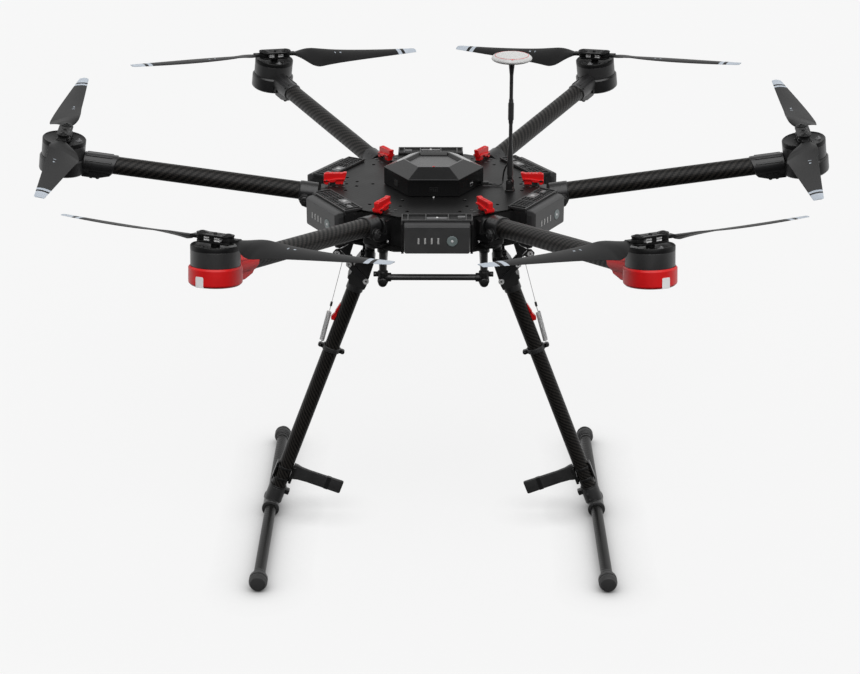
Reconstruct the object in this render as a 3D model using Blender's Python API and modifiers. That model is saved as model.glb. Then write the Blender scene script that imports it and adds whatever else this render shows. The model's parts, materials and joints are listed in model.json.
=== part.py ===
"""A six-arm folding camera multirotor: frame, arms, motors, folding propellers, batteries and landing gear.

All lengths are in millimetres and MM turns them into Blender's metres. X points right, Y points back, Z points up.
The origin is the centre of the gimbal pad, the underside of a low round boss under the lower plate.
Azimuths are in degrees, counter-clockwise from +X seen from above.
"""

from math import cos, pi, radians, sin, sqrt, tan

import bmesh
import bpy
from mathutils import Matrix, Vector

MM = 0.001
GAP = 0.3

# Frame
GROUND = -509.0
PLATE_THICK = 2.7
GIMBAL_PAD = 0.8
GIMBAL_PAD_RADIUS = 24.0
TOP_PLATE_LOW = 48.2
TOP_PLATE_HIGH = 50.9
PLATE_APOTHEM = 162.0
PLATE_ARM_EDGE = 35.0
LOWER_APOTHEM = 177.0
BAY_CORE = 88.0
BAY_CLEAR = 0.5
BAY_END = 184.0
BAY_WALL = 3.6
BAY_TOP = 54.9
BAY_OFFSET = 5.4

# Batteries
BATTERY_WIDTH = 96.5
BATTERY_INNER = 90.0
BATTERY_OUTER = 198.0
BATTERY_CAP = 18.0

# Arms
MOTOR_RADIUS = 566.5
ARM_RISE = 8.0
ARM_RADIUS = 13.75
FOLD_RADIUS = 198.0
FOLD_HEIGHT = 32.0
ARM_HEIGHT_AT_FOLD = 39.45
SOCKET_RADIUS = 15.2
SOCKET_START = 492.0
MOTOR_LEAN = 3.0
EAR_INNER = 17.0
EAR_OUTER = 21.0
LEVER_PIVOT_RADIUS = 164.0
LEVER_PIVOT_HEIGHT = 57.6

# Motors and propellers
CUP_RADIUS = 35.5
BELL_RADIUS = 32.8
HUB_PIVOT = 21.0
HUB_LENGTH = 56.0
HUB_END = 10.5
PROP_HEIGHT = 41.0
PROP_RADIUS = 266.7
PROP_PITCH = 177.8
PIN_RADIUS = 2.5

# Position sensor mast
MAST_AZIMUTH = -15.4
MAST_RADIUS = 120.0
MAST_PIVOT_HEIGHT = 65.0
MAST_TOP = 252.0

# Landing gear
LEG_LEAN = 20.6
LEG_RADIUS = 12.0
GEAR_PIVOT_X = 103.0
GEAR_PIVOT_Z = -64.0
SKID_RADIUS = 9.0
SKID_CAP_RADIUS = 14.25
SKID_HALF = 276.0
LEG_LENGTH = (GEAR_PIVOT_Z - GROUND - SKID_CAP_RADIUS) / cos(radians(LEG_LEAN))
MID_CLAMP = -168.0

# Payload frame
RAIL_X = 75.0
RAIL_Z = -50.0
RAIL_HALF = 165.0
POST_Y = 150.0

# Each arm: azimuth, spin sense seen from above (+1 is counter-clockwise), azimuth of the hub at rest,
# and how far its two blades hang back from the straight line.
ARMS = {
    "right": (0, 1, 87.25, 2.45),
    "rear_right": (60, -1, -26.35, -0.45),
    "rear_left": (120, 1, 26.15, -3.35),
    "left": (180, -1, 92.85, 0.45),
    "front_left": (240, 1, 148.6, -2.1),
    "front_right": (300, -1, 32.65, -0.75),
}
BATTERIES = {
    "rear_right": 30,
    "rear": 90,
    "rear_left": 150,
    "front_left": 210,
    "front": 270,
    "front_right": 330,
}
SIDES = {"right": 0, "left": 180}

# Blade outline for a counter-clockwise propeller: radius, leading edge, trailing edge
BLADE_OUTLINE = [
    (25.0, 5.0, -5.0),
    (34.0, 6.0, -6.0),
    (48.0, 11.0, -12.0),
    (60.0, 14.0, -24.0),
    (72.0, 14.5, -33.0),
    (90.0, 14.0, -30.0),
    (120.0, 12.5, -23.5),
    (170.0, 11.0, -15.5),
    (220.0, 9.5, -10.5),
    (256.0, 8.5, -8.0),
    (PROP_RADIUS, 5.5, -1.0),
]

# Route of the sensor cable: out of the module, over the top plate, and up the mast
CABLE_RADIUS = 1.2
CABLE_ROUTE = [
    (76.9, -7.0, 54.9),
    (83.0, -7.5, 53.7),
    (90.0, -8.5, 52.9),
    (97.0, -10.0, 52.7),
    (102.0, -9.5, 52.9),
    (105.0, -6.0, 54.8),
    (106.0, -4.0, 60.5),
    (107.0, -6.0, 71.0),
    (109.5, -12.0, 81.5),
    (113.0, -19.0, 90.5),
    (116.0, -24.2, 101.0),
    (116.0, -24.8, 130.0),
    (116.0, -24.8, 160.0),
    (116.0, -24.8, 192.0),
    (116.0, -25.4, 220.0),
    (116.0, -25.8, 240.0),
    (116.0, -25.8, 251.6),
]


def clear_scene():
    for old in list(bpy.data.objects):
        bpy.data.objects.remove(old)


def material(name, colour, roughness, metallic=0.0):
    made = bpy.data.materials.new(name)
    made.use_nodes = True
    shader = made.node_tree.nodes["Principled BSDF"]
    shader.inputs["Base Color"].default_value = (*colour, 1.0)
    shader.inputs["Roughness"].default_value = roughness
    shader.inputs["Metallic"].default_value = metallic
    return made


def evaluated_mesh(source):
    """The mesh that an object's modifiers or curve make, with the object itself removed."""
    source_collection.objects.link(source)
    graph = bpy.context.evaluated_depsgraph_get()
    made = bpy.data.meshes.new_from_object(source.evaluated_get(graph))
    bpy.data.objects.remove(source)
    return made


def welded(mesh):
    work = bmesh.new()
    work.from_mesh(mesh)
    bmesh.ops.remove_doubles(work, verts=work.verts, dist=0.00001)
    bmesh.ops.recalc_face_normals(work, faces=work.faces)
    work.to_mesh(mesh)
    work.free()
    return mesh


def moved(mesh, offset=(0, 0, 0), turn=0.0, axis="Z"):
    """A copy of a mesh, turned about an axis through the origin and then moved."""
    copy = mesh.copy()
    copy.transform(Matrix.Translation(Vector(offset) * MM) @ Matrix.Rotation(radians(turn), 4, axis))
    return copy


def combined(base, others, operation):
    """One mesh made from base and the others by exact Booleans: UNION or DIFFERENCE."""
    body = bpy.data.objects.new("body", base)
    helpers = []
    for other in others:
        helper = bpy.data.objects.new("helper", other)
        source_collection.objects.link(helper)
        helpers.append(helper)
        step = body.modifiers.new(operation.lower(), "BOOLEAN")
        step.operation = operation
        step.object = helper
    made = evaluated_mesh(body)
    for helper in helpers:
        bpy.data.objects.remove(helper)
    return made


def joined(*meshes):
    return combined(meshes[0], meshes[1:], "UNION")


def cut(base, *cutters):
    return combined(base, cutters, "DIFFERENCE")


def box(low, high):
    """A block between two opposite corners."""
    work = bmesh.new()
    bmesh.ops.create_cube(work, size=1.0)
    size = [(b - a) * MM for a, b in zip(low, high)]
    middle = [(a + b) / 2 * MM for a, b in zip(low, high)]
    bmesh.ops.scale(work, vec=size, verts=work.verts)
    bmesh.ops.translate(work, vec=middle, verts=work.verts)
    mesh = bpy.data.meshes.new("box")
    work.to_mesh(mesh)
    work.free()
    return mesh


def cylinder(radius, low, high, segments=16, axis="Z"):
    """A round bar along an axis through the origin, between two places on it."""
    work = bmesh.new()
    bmesh.ops.create_cone(
        work,
        cap_ends=True,
        segments=segments,
        radius1=radius * MM,
        radius2=radius * MM,
        depth=(high - low) * MM,
    )
    bmesh.ops.translate(work, vec=(0, 0, (low + high) / 2 * MM), verts=work.verts)
    mesh = bpy.data.meshes.new("cylinder")
    work.to_mesh(mesh)
    work.free()
    if axis == "X":
        mesh.transform(Matrix.Rotation(radians(90), 4, "Y"))
    if axis == "Y":
        mesh.transform(Matrix.Rotation(radians(-90), 4, "X"))
    return mesh


def turned(profile, segments=16):
    """A solid of revolution about Z, from (radius, height) points that run from the top down the outside."""
    mesh = bpy.data.meshes.new("profile")
    points = [(radius * MM, 0, height * MM) for radius, height in profile]
    edges = [(i, i + 1) for i in range(len(points) - 1)]
    mesh.from_pydata(points, edges, [])
    source = bpy.data.objects.new("profile", mesh)
    screw = source.modifiers.new("turn", "SCREW")
    screw.steps = segments
    screw.render_steps = segments
    screw.use_merge_vertices = True
    screw.merge_threshold = 0.00001
    return welded(evaluated_mesh(source))


def plate(outline, low, high):
    """A flat outline in X and Y, filled and made solid between two heights."""
    curve = bpy.data.curves.new("outline", "CURVE")
    curve.dimensions = "2D"
    curve.fill_mode = "BOTH"
    curve.extrude = (high - low) / 2 * MM
    spline = curve.splines.new("POLY")
    spline.points.add(len(outline) - 1)
    for point, (x, y) in zip(spline.points, outline):
        point.co = (x * MM, y * MM, 0, 1)
    spline.use_cyclic_u = True
    mesh = welded(evaluated_mesh(bpy.data.objects.new("outline", curve)))
    return moved(mesh, (0, 0, (low + high) / 2))


def side_plate(outline, low, high):
    """A flat outline in X and Z, made solid between two places on Y."""
    return moved(plate(outline, -high, -low), turn=90, axis="X")


def bar(points, radius, sides=2):
    """A round bar or wire through the points, with closed ends."""
    curve = bpy.data.curves.new("bar", "CURVE")
    curve.dimensions = "3D"
    curve.bevel_depth = radius * MM
    curve.bevel_resolution = sides
    curve.use_fill_caps = True
    spline = curve.splines.new("POLY")
    spline.points.add(len(points) - 1)
    for point, place_on_route in zip(spline.points, points):
        point.co = (*(Vector(place_on_route) * MM), 1)
    return welded(evaluated_mesh(bpy.data.objects.new("bar", curve)))


def on_ring(radius, offset, azimuth):
    """The point at radius along an azimuth and offset across it."""
    angle = radians(azimuth)
    return (
        radius * cos(angle) - offset * sin(angle),
        radius * sin(angle) + offset * cos(angle),
    )


def frame(name, location, turns, parent=None):
    """An empty that holds a moving piece: at location, turned by (degrees, axis) steps in its parent's space."""
    empty = bpy.data.objects.new(name, None)
    empty.empty_display_size = 0.02
    drone_collection.objects.link(empty)
    matrix = Matrix.Translation(Vector(location) * MM)
    for degrees, axis in turns:
        matrix = matrix @ Matrix.Rotation(radians(degrees), 4, axis)
    empty.parent = parent
    empty.matrix_local = matrix
    return empty


def place(name, mesh, look, parent=None, location=(0, 0, 0), turn=0.0):
    """A named piece made from a mesh, which other pieces may share."""
    piece = bpy.data.objects.new(name, mesh)
    drone_collection.objects.link(piece)
    piece.parent = parent
    piece.location = Vector(location) * MM
    piece.rotation_euler = (0, 0, radians(turn))
    if not mesh.materials:
        mesh.materials.append(look)
    mesh.shade_smooth()
    mesh.set_sharp_from_angle(angle=radians(35))
    return piece


def frame_outline(arm_apothem, arm_edge):
    """Twelve-sided outline with one edge across each arm."""
    points = []
    for azimuth, *_ in ARMS.values():
        points.append(on_ring(arm_apothem, -arm_edge, azimuth))
        points.append(on_ring(arm_apothem, arm_edge, azimuth))
    return points


def bay_outline():
    """Outline of the middle frame: six wedges behind the arms, with an open bay for each battery between them."""
    half = BATTERY_WIDTH / 2 + BAY_CLEAR
    cheek = half + BAY_WALL
    points = []
    for azimuth in BATTERIES.values():
        for side in (-1, 1):
            outer = BAY_OFFSET + side * cheek
            inner = BAY_OFFSET + side * half
            wedge_face = (PLATE_APOTHEM - 1.0 - side * outer * sin(radians(30))) / cos(radians(30))
            walls = [(wedge_face, outer), (BAY_END, outer), (BAY_END, inner), (BAY_CORE, inner)]
            for radius, offset in walls if side == -1 else reversed(walls):
                points.append(on_ring(radius, offset, azimuth))
    return points


def bay_frame_mesh():
    """Middle frame with a bridge over each bay and two ears for each arm's fold bolt."""
    low = PLATE_THICK + GAP
    high = TOP_PLATE_LOW - GAP
    half = BATTERY_WIDTH / 2 + BAY_CLEAR
    pieces = [plate(bay_outline(), low, high)]
    for azimuth in BATTERIES.values():
        outer = half + BAY_WALL - 0.4
        arch = joined(
            box((154.0, -outer, TOP_PLATE_HIGH + 0.6), (BAY_END - 0.4, outer, BAY_TOP)),
            box((163.5, half + 0.4, 30.0), (BAY_END - 0.8, outer - 0.4, BAY_TOP - 0.5)),
            box((163.5, -outer + 0.4, 30.0), (BAY_END - 0.8, -half - 0.4, BAY_TOP - 0.5)),
        )
        pieces.append(moved(moved(arch, (0, BAY_OFFSET, 0)), turn=azimuth))
    ear_outline = [
        (150.0, 14.0),
        (FOLD_RADIUS, FOLD_HEIGHT - 10.0),
        (FOLD_RADIUS + 7.0, FOLD_HEIGHT - 7.0),
        (FOLD_RADIUS + 8.0, FOLD_HEIGHT + 7.0),
        (FOLD_RADIUS - 4.0, FOLD_HEIGHT + 12.0),
        (150.0, 46.0),
    ]
    for azimuth, *_ in ARMS.values():
        for low_side, high_side in ((EAR_INNER, EAR_OUTER), (-EAR_OUTER, -EAR_INNER)):
            pieces.append(moved(side_plate(ear_outline, low_side, high_side), turn=azimuth))
    return joined(*pieces)


def battery_mesh():
    """Battery, seen across its width, with its deeper end cap."""
    profile = [
        (BATTERY_INNER, 8.2),
        (BATTERY_OUTER - BATTERY_CAP, 8.2),
        (BATTERY_OUTER - BATTERY_CAP, 7.4),
        (BATTERY_OUTER - 2.0, 7.4),
        (BATTERY_OUTER, 9.4),
        (BATTERY_OUTER, 48.4),
        (BATTERY_OUTER - 6.0, 51.4),
        (BATTERY_OUTER - BATTERY_CAP + 4.6, 51.4),
        (BATTERY_OUTER - BATTERY_CAP + 4.6, 47.4),
        (BATTERY_INNER, 47.4),
    ]
    return side_plate(profile, BAY_OFFSET - BATTERY_WIDTH / 2, BAY_OFFSET + BATTERY_WIDTH / 2)


def lever_mesh():
    """Lock lever, seen from its side, about its pivot at the outer end."""
    profile = [
        (1.5, -6.3),
        (4.5, -3.6),
        (4.5, 11.9),
        (-31.0, 11.9),
        (-25.0, -6.3),
        (-14.5, -6.3),
        (-12.5, -2.5),
        (-3.5, -2.5),
        (-1.5, -6.3),
    ]
    return side_plate(profile, -4.75, 4.75)


def arm_mesh():
    """Arm about its fold bolt: collar, tube and hinge lug, with the tube rising outwards."""
    inner = -20.0 / cos(radians(ARM_RISE))
    outer = (SOCKET_START - FOLD_RADIUS) / cos(radians(ARM_RISE))
    tube = turned(
        [(0, outer), (ARM_RADIUS, outer), (ARM_RADIUS, 8.0), (15.6, 7.0), (15.6, inner), (0, inner)]
    )
    tube = moved(tube, turn=90, axis="Y")
    tube = moved(tube, turn=-ARM_RISE, axis="Y")
    tube = moved(tube, (0, 0, ARM_HEIGHT_AT_FOLD - FOLD_HEIGHT))
    lug = joined(
        cylinder(8.0, -EAR_INNER + GAP, EAR_INNER - GAP, axis="Y"),
        box((-7.9, -9.0, 0.0), (7.9, 9.0, 5.0)),
    )
    return joined(tube, lug)


def motor_mount_mesh():
    """Motor cup with its tube socket, about the motor's axis at the height of the tube."""
    cup = turned(
        [
            (0, 4.4),
            (CUP_RADIUS - 2.0, 4.4),
            (CUP_RADIUS, 2.0),
            (CUP_RADIUS, -14.5),
            (CUP_RADIUS - 5.0, -19.5),
            (0, -19.5),
        ],
        segments=24,
    )
    reach = (MOTOR_RADIUS - SOCKET_START - GAP) / cos(radians(ARM_RISE))
    socket = cylinder(SOCKET_RADIUS, -reach, -BELL_RADIUS - 0.8, axis="X")
    neck = box((-40.0, -13.5, -14.0), (-20.0, 13.5, 4.0))
    lug = box((-reach + 6.0, -6.0, -21.0), (-25.0, 6.0, -8.0))
    return joined(cup, socket, neck, lug)


def rotor_mesh():
    """Motor bell with the hub clamp on top: two cheeks, a middle block and the blades' pivot pins."""
    low = PROP_HEIGHT - 6.0
    high = PROP_HEIGHT + 6.0
    bell = turned(
        [(0, 33.4), (BELL_RADIUS - 5.0, 33.4), (BELL_RADIUS, 30.0), (BELL_RADIUS, 5.0), (0, 5.0)],
        segments=24,
    )
    middle = box((-11.5, -9.5, 30.0), (11.5, 9.5, high - 0.5))
    pieces = [bell, middle]
    outline = []
    for end, side in ((0, 1), (180, -1)):
        for step in range(-90, 91, 45):
            x, y = on_ring(HUB_END, 0, end + step)
            outline.append((x + side * (HUB_LENGTH / 2 - HUB_END), y))
    for bottom, top in ((low, low + 3.0), (high - 3.0, high)):
        pieces.append(plate(outline, bottom, top))
    for side in (-1, 1):
        pin = cylinder(PIN_RADIUS, low + 1.0, high - 1.0, segments=10)
        pieces.append(moved(pin, (side * HUB_PIVOT, 0, 0)))
    return joined(*pieces)


def blade_section(radius, leading, trailing):
    """Six points around one section of the blade, pitched, in the blade's own space with its pivot at the origin."""
    ramp = min(1.0, max(0.0, (radius - 28.0) / 34.0))
    slope = PROP_PITCH / (2 * pi * max(radius, 62.0)) * ramp
    pitch_cos = 1 / sqrt(1 + slope * slope)
    pitch_sin = slope * pitch_cos
    chord = leading - trailing
    thick = 2.2 if radius < 40.0 else 1.9 - 1.2 * radius / PROP_RADIUS
    rise = 4.0 * (radius / PROP_RADIUS) ** 2
    around = [
        (leading, 0.35),
        (leading - 0.3 * chord, thick),
        (trailing + 0.3 * chord, 0.8 * thick),
        (trailing, 0.2),
        (trailing + 0.3 * chord, -0.7 * thick),
        (leading - 0.3 * chord, -thick),
    ]
    points = []
    for across, up in around:
        points.append(
            (
                radius - HUB_PIVOT,
                across * pitch_cos - up * pitch_sin,
                across * pitch_sin + up * pitch_cos + rise,
            )
        )
    return points


def blade_mesh(sense):
    """Folding blade with a flat root eye. The sense is +1 for a counter-clockwise propeller."""
    work = bmesh.new()
    rings = []
    for radius, leading, trailing in BLADE_OUTLINE:
        ring = []
        for x, y, z in blade_section(radius, leading, trailing):
            ring.append(work.verts.new((x * MM, sense * y * MM, z * MM)))
        rings.append(ring)
    for inner, outer in zip(rings, rings[1:]):
        for i in range(len(inner)):
            after = (i + 1) % len(inner)
            work.faces.new((inner[i], inner[after], outer[after], outer[i]))
    work.faces.new(rings[0])
    work.faces.new(rings[-1])
    bmesh.ops.recalc_face_normals(work, faces=work.faces)
    mesh = bpy.data.meshes.new("blade")
    work.to_mesh(mesh)
    work.free()
    eye = cylinder(8.0, -2.6, 2.6)
    hole = cylinder(PIN_RADIUS + 0.5, -6.0, 6.0, segments=12)
    return cut(joined(mesh, eye), hole)


def make_frame():
    place("top_plate", plate(frame_outline(PLATE_APOTHEM, PLATE_ARM_EDGE), TOP_PLATE_LOW, TOP_PLATE_HIGH), BLACK)
    lower_plate = joined(
        plate(frame_outline(LOWER_APOTHEM, PLATE_ARM_EDGE), GIMBAL_PAD, PLATE_THICK),
        cylinder(GIMBAL_PAD_RADIUS, 0.0, GIMBAL_PAD + 0.5, segments=32),
    )
    place("lower_plate", lower_plate, BLACK)
    place("bay_frame", bay_frame_mesh(), BLACK)
    cover_profile = [
        (0, 87.0),
        (41.0, 87.0),
        (43.0, 90.4),
        (46.0, 90.4),
        (76.0, 78.4),
        (76.0, TOP_PLATE_HIGH + GAP),
        (0, TOP_PLATE_HIGH + GAP),
    ]
    cover = turned(cover_profile, segments=6)
    place("controller_cover", cover, BLACK)


def make_batteries():
    battery = battery_mesh()
    for name, azimuth in BATTERIES.items():
        place("battery_" + name, battery, GREY, turn=azimuth)


def make_levers():
    lever = lever_mesh()
    for name, (azimuth, *_) in ARMS.items():
        x, y = on_ring(LEVER_PIVOT_RADIUS, 0.0, azimuth)
        place("lock_lever_" + name, lever, RED, location=(x, y, LEVER_PIVOT_HEIGHT), turn=azimuth)


def make_arms():
    arm = arm_mesh()
    rear_mount = motor_mount_mesh()
    front_mount = rear_mount.copy()
    rotor = rotor_mesh()
    blades = {1: blade_mesh(1), -1: blade_mesh(-1)}
    climb = (MOTOR_RADIUS - FOLD_RADIUS) * tan(radians(ARM_RISE)) + ARM_HEIGHT_AT_FOLD - FOLD_HEIGHT
    for name, (azimuth, sense, hub, hang) in ARMS.items():
        x, y = on_ring(FOLD_RADIUS, 0.0, azimuth)
        fold = frame("fold_" + name, (x, y, FOLD_HEIGHT), [(azimuth, "Z")])
        place("arm_" + name, arm, BLACK, fold)
        turns = [(-ARM_RISE, "Y"), (sense * MOTOR_LEAN, "X")]
        motor = frame("motor_axis_" + name, (MOTOR_RADIUS - FOLD_RADIUS, 0, climb), turns, fold)
        if name.startswith("front"):
            place("motor_mount_" + name, front_mount, RED, motor)
        else:
            place("motor_mount_" + name, rear_mount, BLACK, motor)
        spin = frame("spin_" + name, (0, 0, 0), [(hub - azimuth, "Z")], motor)
        place("rotor_" + name, rotor, BLACK, spin)
        for letter, end, angle in (("a", 1, hang), ("b", -1, -hang)):
            place(
                "blade_" + name + "_" + letter,
                blades[sense],
                GREY,
                spin,
                location=(end * HUB_PIVOT, 0, PROP_HEIGHT),
                turn=angle * PROP_RADIUS / (PROP_RADIUS - HUB_PIVOT) + (0 if end == 1 else 180),
            )


def make_mast():
    x, y = on_ring(MAST_RADIUS, 0.0, MAST_AZIMUTH)
    low = TOP_PLATE_HIGH + GAP
    base = joined(
        box((-8.0, -8.0, low), (8.0, 8.0, low + 4.0)),
        box((-4.8, -6.2, low + 3.0), (4.8, -3.4, MAST_PIVOT_HEIGHT + 4.4)),
        box((-4.8, 3.4, low + 3.0), (4.8, 6.2, MAST_PIVOT_HEIGHT + 4.4)),
        moved(cylinder(1.6, -5.0, 5.0, segments=10, axis="Y"), (0, 0, MAST_PIVOT_HEIGHT)),
    )
    place("mast_base", base, BLACK, location=(x, y, 0), turn=MAST_AZIMUTH)
    tilt = frame("mast_axis", (x, y, MAST_PIVOT_HEIGHT), [(MAST_AZIMUTH, "Z")])
    reach = MAST_TOP - MAST_PIVOT_HEIGHT
    rod = turned(
        [
            (0, reach),
            (5.0, reach),
            (5.0, reach - 4.0),
            (2.4, reach - 10.0),
            (2.4, 125.0),
            (4.6, 122.0),
            (4.6, 96.0),
            (2.4, 93.0),
            (2.4, 37.0),
            (4.0, 34.0),
            (4.0, 7.0),
            (0, 7.0),
        ],
        segments=12,
    )
    foot = joined(cylinder(4.4, -3.0, 3.0, axis="Y"), box((-3.8, -2.9, 0.0), (3.8, 2.9, 9.0)))
    place("sensor_mast", cut(joined(rod, foot), cylinder(2.1, -9.0, 9.0, segments=12, axis="Y")), BLACK, tilt)
    puck = turned([(0, 10.0), (22.0, 9.4), (28.0, 7.2), (30.3, 4.2), (28.5, 1.2), (25.0, 0.0), (0, 0)], segments=24)
    place("sensor_puck", puck, WHITE, tilt, location=(0, 0, reach + GAP))
    place("sensor_cable", bar(CABLE_ROUTE, CABLE_RADIUS), RUBBER)


def make_gear_mount():
    """Open cross member under the frame, with a fork for each leg and an arm for its lock link."""
    window = box((-82.0, -26.0, -20.0), (82.0, 26.0, 10.0))
    pieces = [cut(box((-122.0, -36.0, -8.3), (122.0, 36.0, GIMBAL_PAD - GAP)), window)]
    fork = [
        (90.0, -4.0),
        (116.0, -4.0),
        (122.0, -38.0),
        (152.0, -47.0),
        (155.0, -55.0),
        (149.0, -61.0),
        (118.0, -57.0),
        (114.0, -76.0),
        (92.0, -76.0),
    ]
    for azimuth in SIDES.values():
        for low_side, high_side in ((15.2, 19.2), (-19.2, -15.2)):
            pieces.append(moved(side_plate(fork, low_side, high_side), turn=azimuth))
        pin = moved(cylinder(3.0, -17.0, 17.0, segments=12, axis="Y"), (GEAR_PIVOT_X, 0, GEAR_PIVOT_Z))
        pieces.append(moved(pin, turn=azimuth))
    place("gear_mount", joined(*pieces), BLACK)


def leg_mesh():
    """Leg about its pivot: bracket, tube, middle clamp with its lugs, and the joint that holds the skid."""
    bottom = -LEG_LENGTH
    bracket = [(-13.0, 6.0), (-6.0, 13.0), (6.0, 13.0), (14.0, 5.0), (16.0, -48.0), (-14.0, -52.0)]
    pieces = [
        cylinder(LEG_RADIUS, bottom + 8.0, -40.0),
        side_plate(bracket, -14.8, 14.8),
        cylinder(15.0, MID_CLAMP - 4.0, MID_CLAMP + 4.0),
        cylinder(14.5, bottom + 5.0, bottom + 32.0),
        moved(cylinder(14.0, -24.0, 24.0, axis="Y"), (0, 0, bottom)),
    ]
    for side in (-1, 1):
        lug = box((13.0, -3.5, MID_CLAMP - 3.5), (21.0, 3.5, MID_CLAMP + 3.5))
        pieces.append(moved(lug, turn=0 if side == 1 else 180))
    bore = moved(cylinder(SKID_RADIUS + 0.6, -30.0, 30.0, axis="Y"), (0, 0, bottom))
    pin_hole = cylinder(3.6, -30.0, 30.0, segments=12, axis="Y")
    return cut(joined(*pieces), bore, pin_hole)


def skid_mesh():
    """Skid tube along Y with a rubber cap at each end."""
    end = SKID_HALF
    half = [
        (0, end),
        (SKID_CAP_RADIUS - 3.0, end),
        (SKID_CAP_RADIUS, end - 3.0),
        (SKID_CAP_RADIUS, end - 22.0),
        (SKID_RADIUS, end - 24.0),
    ]
    profile = half + [(radius, -height) for radius, height in reversed(half)]
    return moved(turned(profile), turn=-90, axis="X")


def spring_mesh():
    """Tension spring with its wire, from the leg's outer lug up to the frame, in the leg's space."""
    bottom = Vector((18.5, 0, MID_CLAMP + 4.2))
    top = Vector((19.0, 0, -22.0))
    middle = bottom.lerp(top, 0.36)
    low = bottom.lerp(top, 0.02)
    return joined(bar([low, middle], 3.2), bar([bottom.lerp(top, 0.3), top], 0.8, sides=1))


def antenna_mesh():
    """Flat antenna that points inwards from the leg, with a collar beside the tube."""
    paddle = [(-12.5, -7.0), (-12.5, 7.0), (-94.0, 10.5), (-96.0, 8.5), (-96.0, -8.5), (-94.0, -10.5)]
    return side_plate(paddle, -4.0, 4.0)


def make_landing_gear():
    leg = leg_mesh()
    skid = skid_mesh()
    spring = spring_mesh()
    antenna = antenna_mesh()
    for name, azimuth in SIDES.items():
        x, y = on_ring(GEAR_PIVOT_X, 0.0, azimuth)
        pivot = frame("gear_pivot_" + name, (x, y, GEAR_PIVOT_Z), [(azimuth, "Z"), (-LEG_LEAN, "Y")])
        place("leg_" + name, leg, BLACK, pivot)
        place("skid_" + name, skid, BLACK, pivot, location=(0, 0, -LEG_LENGTH))
        place("gear_spring_" + name, spring, STEEL, pivot)
        place("antenna_" + name, antenna, BLACK, pivot, location=(0, 0, -400.0))


def make_payload_frame():
    """Two rails under the lower plate on four posts, with a bar across each end."""
    pieces = []
    for side in (-1, 1):
        rail = cylinder(4.75, -RAIL_HALF + 2.0, RAIL_HALF - 2.0, segments=12, axis="Y")
        pieces.append(moved(rail, (side * RAIL_X, 0, RAIL_Z)))
        for end in (-1, 1):
            cap = cylinder(6.6, -4.0, 4.0, segments=12, axis="Y")
            pieces.append(moved(cap, (side * RAIL_X, end * (RAIL_HALF - 4.0), RAIL_Z)))
            post = cylinder(5.5, RAIL_Z + 0.7, GIMBAL_PAD - GAP)
            pieces.append(moved(post, (side * RAIL_X, end * POST_Y, 0)))
    for end in (-1, 1):
        cross = cylinder(4.7, -RAIL_X, RAIL_X, segments=12, axis="X")
        pieces.append(moved(cross, (0, end * POST_Y, RAIL_Z + 4.0)))
    place("payload_frame", joined(*pieces), BLACK)


clear_scene()
drone_collection = bpy.data.collections.new("hexacopter")
bpy.context.scene.collection.children.link(drone_collection)
source_collection = bpy.context.scene.collection

BLACK = material("black", (0.02, 0.02, 0.022), 0.45)
GREY = material("grey", (0.05, 0.05, 0.053), 0.5)
RED = material("red", (0.6, 0.01, 0.012), 0.35)
WHITE = material("white", (0.8, 0.8, 0.8), 0.4)
RUBBER = material("rubber", (0.015, 0.015, 0.015), 0.7)
STEEL = material("steel", (0.6, 0.6, 0.6), 0.3, 1.0)

make_frame()
make_batteries()
make_levers()
make_arms()
make_mast()
make_gear_mount()
make_landing_gear()
make_payload_frame()
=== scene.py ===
"""Looks of the hexacopter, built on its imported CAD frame.

Each detailed piece is made in its own space in millimetres, then placed in the frame's space in metres
and hung on the CAD body that it moves with. X points right, Y points back, Z points up.
"""

import json
from math import cos, pi, radians, sin, sqrt

import bmesh
import bpy
from mathutils import Matrix, Vector


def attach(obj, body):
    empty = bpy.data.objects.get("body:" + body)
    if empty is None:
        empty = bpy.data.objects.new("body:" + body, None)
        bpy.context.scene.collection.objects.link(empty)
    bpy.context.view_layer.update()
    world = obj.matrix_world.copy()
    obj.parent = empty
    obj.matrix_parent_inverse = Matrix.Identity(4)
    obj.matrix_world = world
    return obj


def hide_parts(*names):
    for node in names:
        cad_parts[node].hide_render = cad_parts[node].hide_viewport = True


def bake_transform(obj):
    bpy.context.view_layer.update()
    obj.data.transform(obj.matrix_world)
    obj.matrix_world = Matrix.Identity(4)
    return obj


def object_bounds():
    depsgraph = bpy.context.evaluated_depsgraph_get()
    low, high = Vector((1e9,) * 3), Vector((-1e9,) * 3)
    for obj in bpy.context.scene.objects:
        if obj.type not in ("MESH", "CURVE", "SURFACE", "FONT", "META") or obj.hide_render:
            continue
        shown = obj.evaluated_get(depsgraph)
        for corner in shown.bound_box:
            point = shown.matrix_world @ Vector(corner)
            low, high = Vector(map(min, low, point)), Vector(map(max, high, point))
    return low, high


MM = 0.001
SHARP = radians(32)
SMOOTH = radians(50)
FACETED = radians(14)

# Frame: heights of its plates and bays, and how far out things stand on it
PLATE_LOW = 48.2
PLATE_HIGH = 50.9
LOWER_PLATE_HIGH = 2.7
LOWER_PLATE_LOW = 0.8
PLATE_APOTHEM = 162.0
LOWER_APOTHEM = 177.0
PLATE_ARM_EDGE = 35.0
BAY_TOP = 54.9
BAY_OFFSET = 5.4
BAY_INNER = 154.0
BAY_OUTER = 183.6
BATTERY_HALF = 48.25
EAR_START = 172.0
SADDLE_RADIUS = 168.0
LEVER_RADIUS = 164.0
MODULE_RADIUS = 76.0

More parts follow.
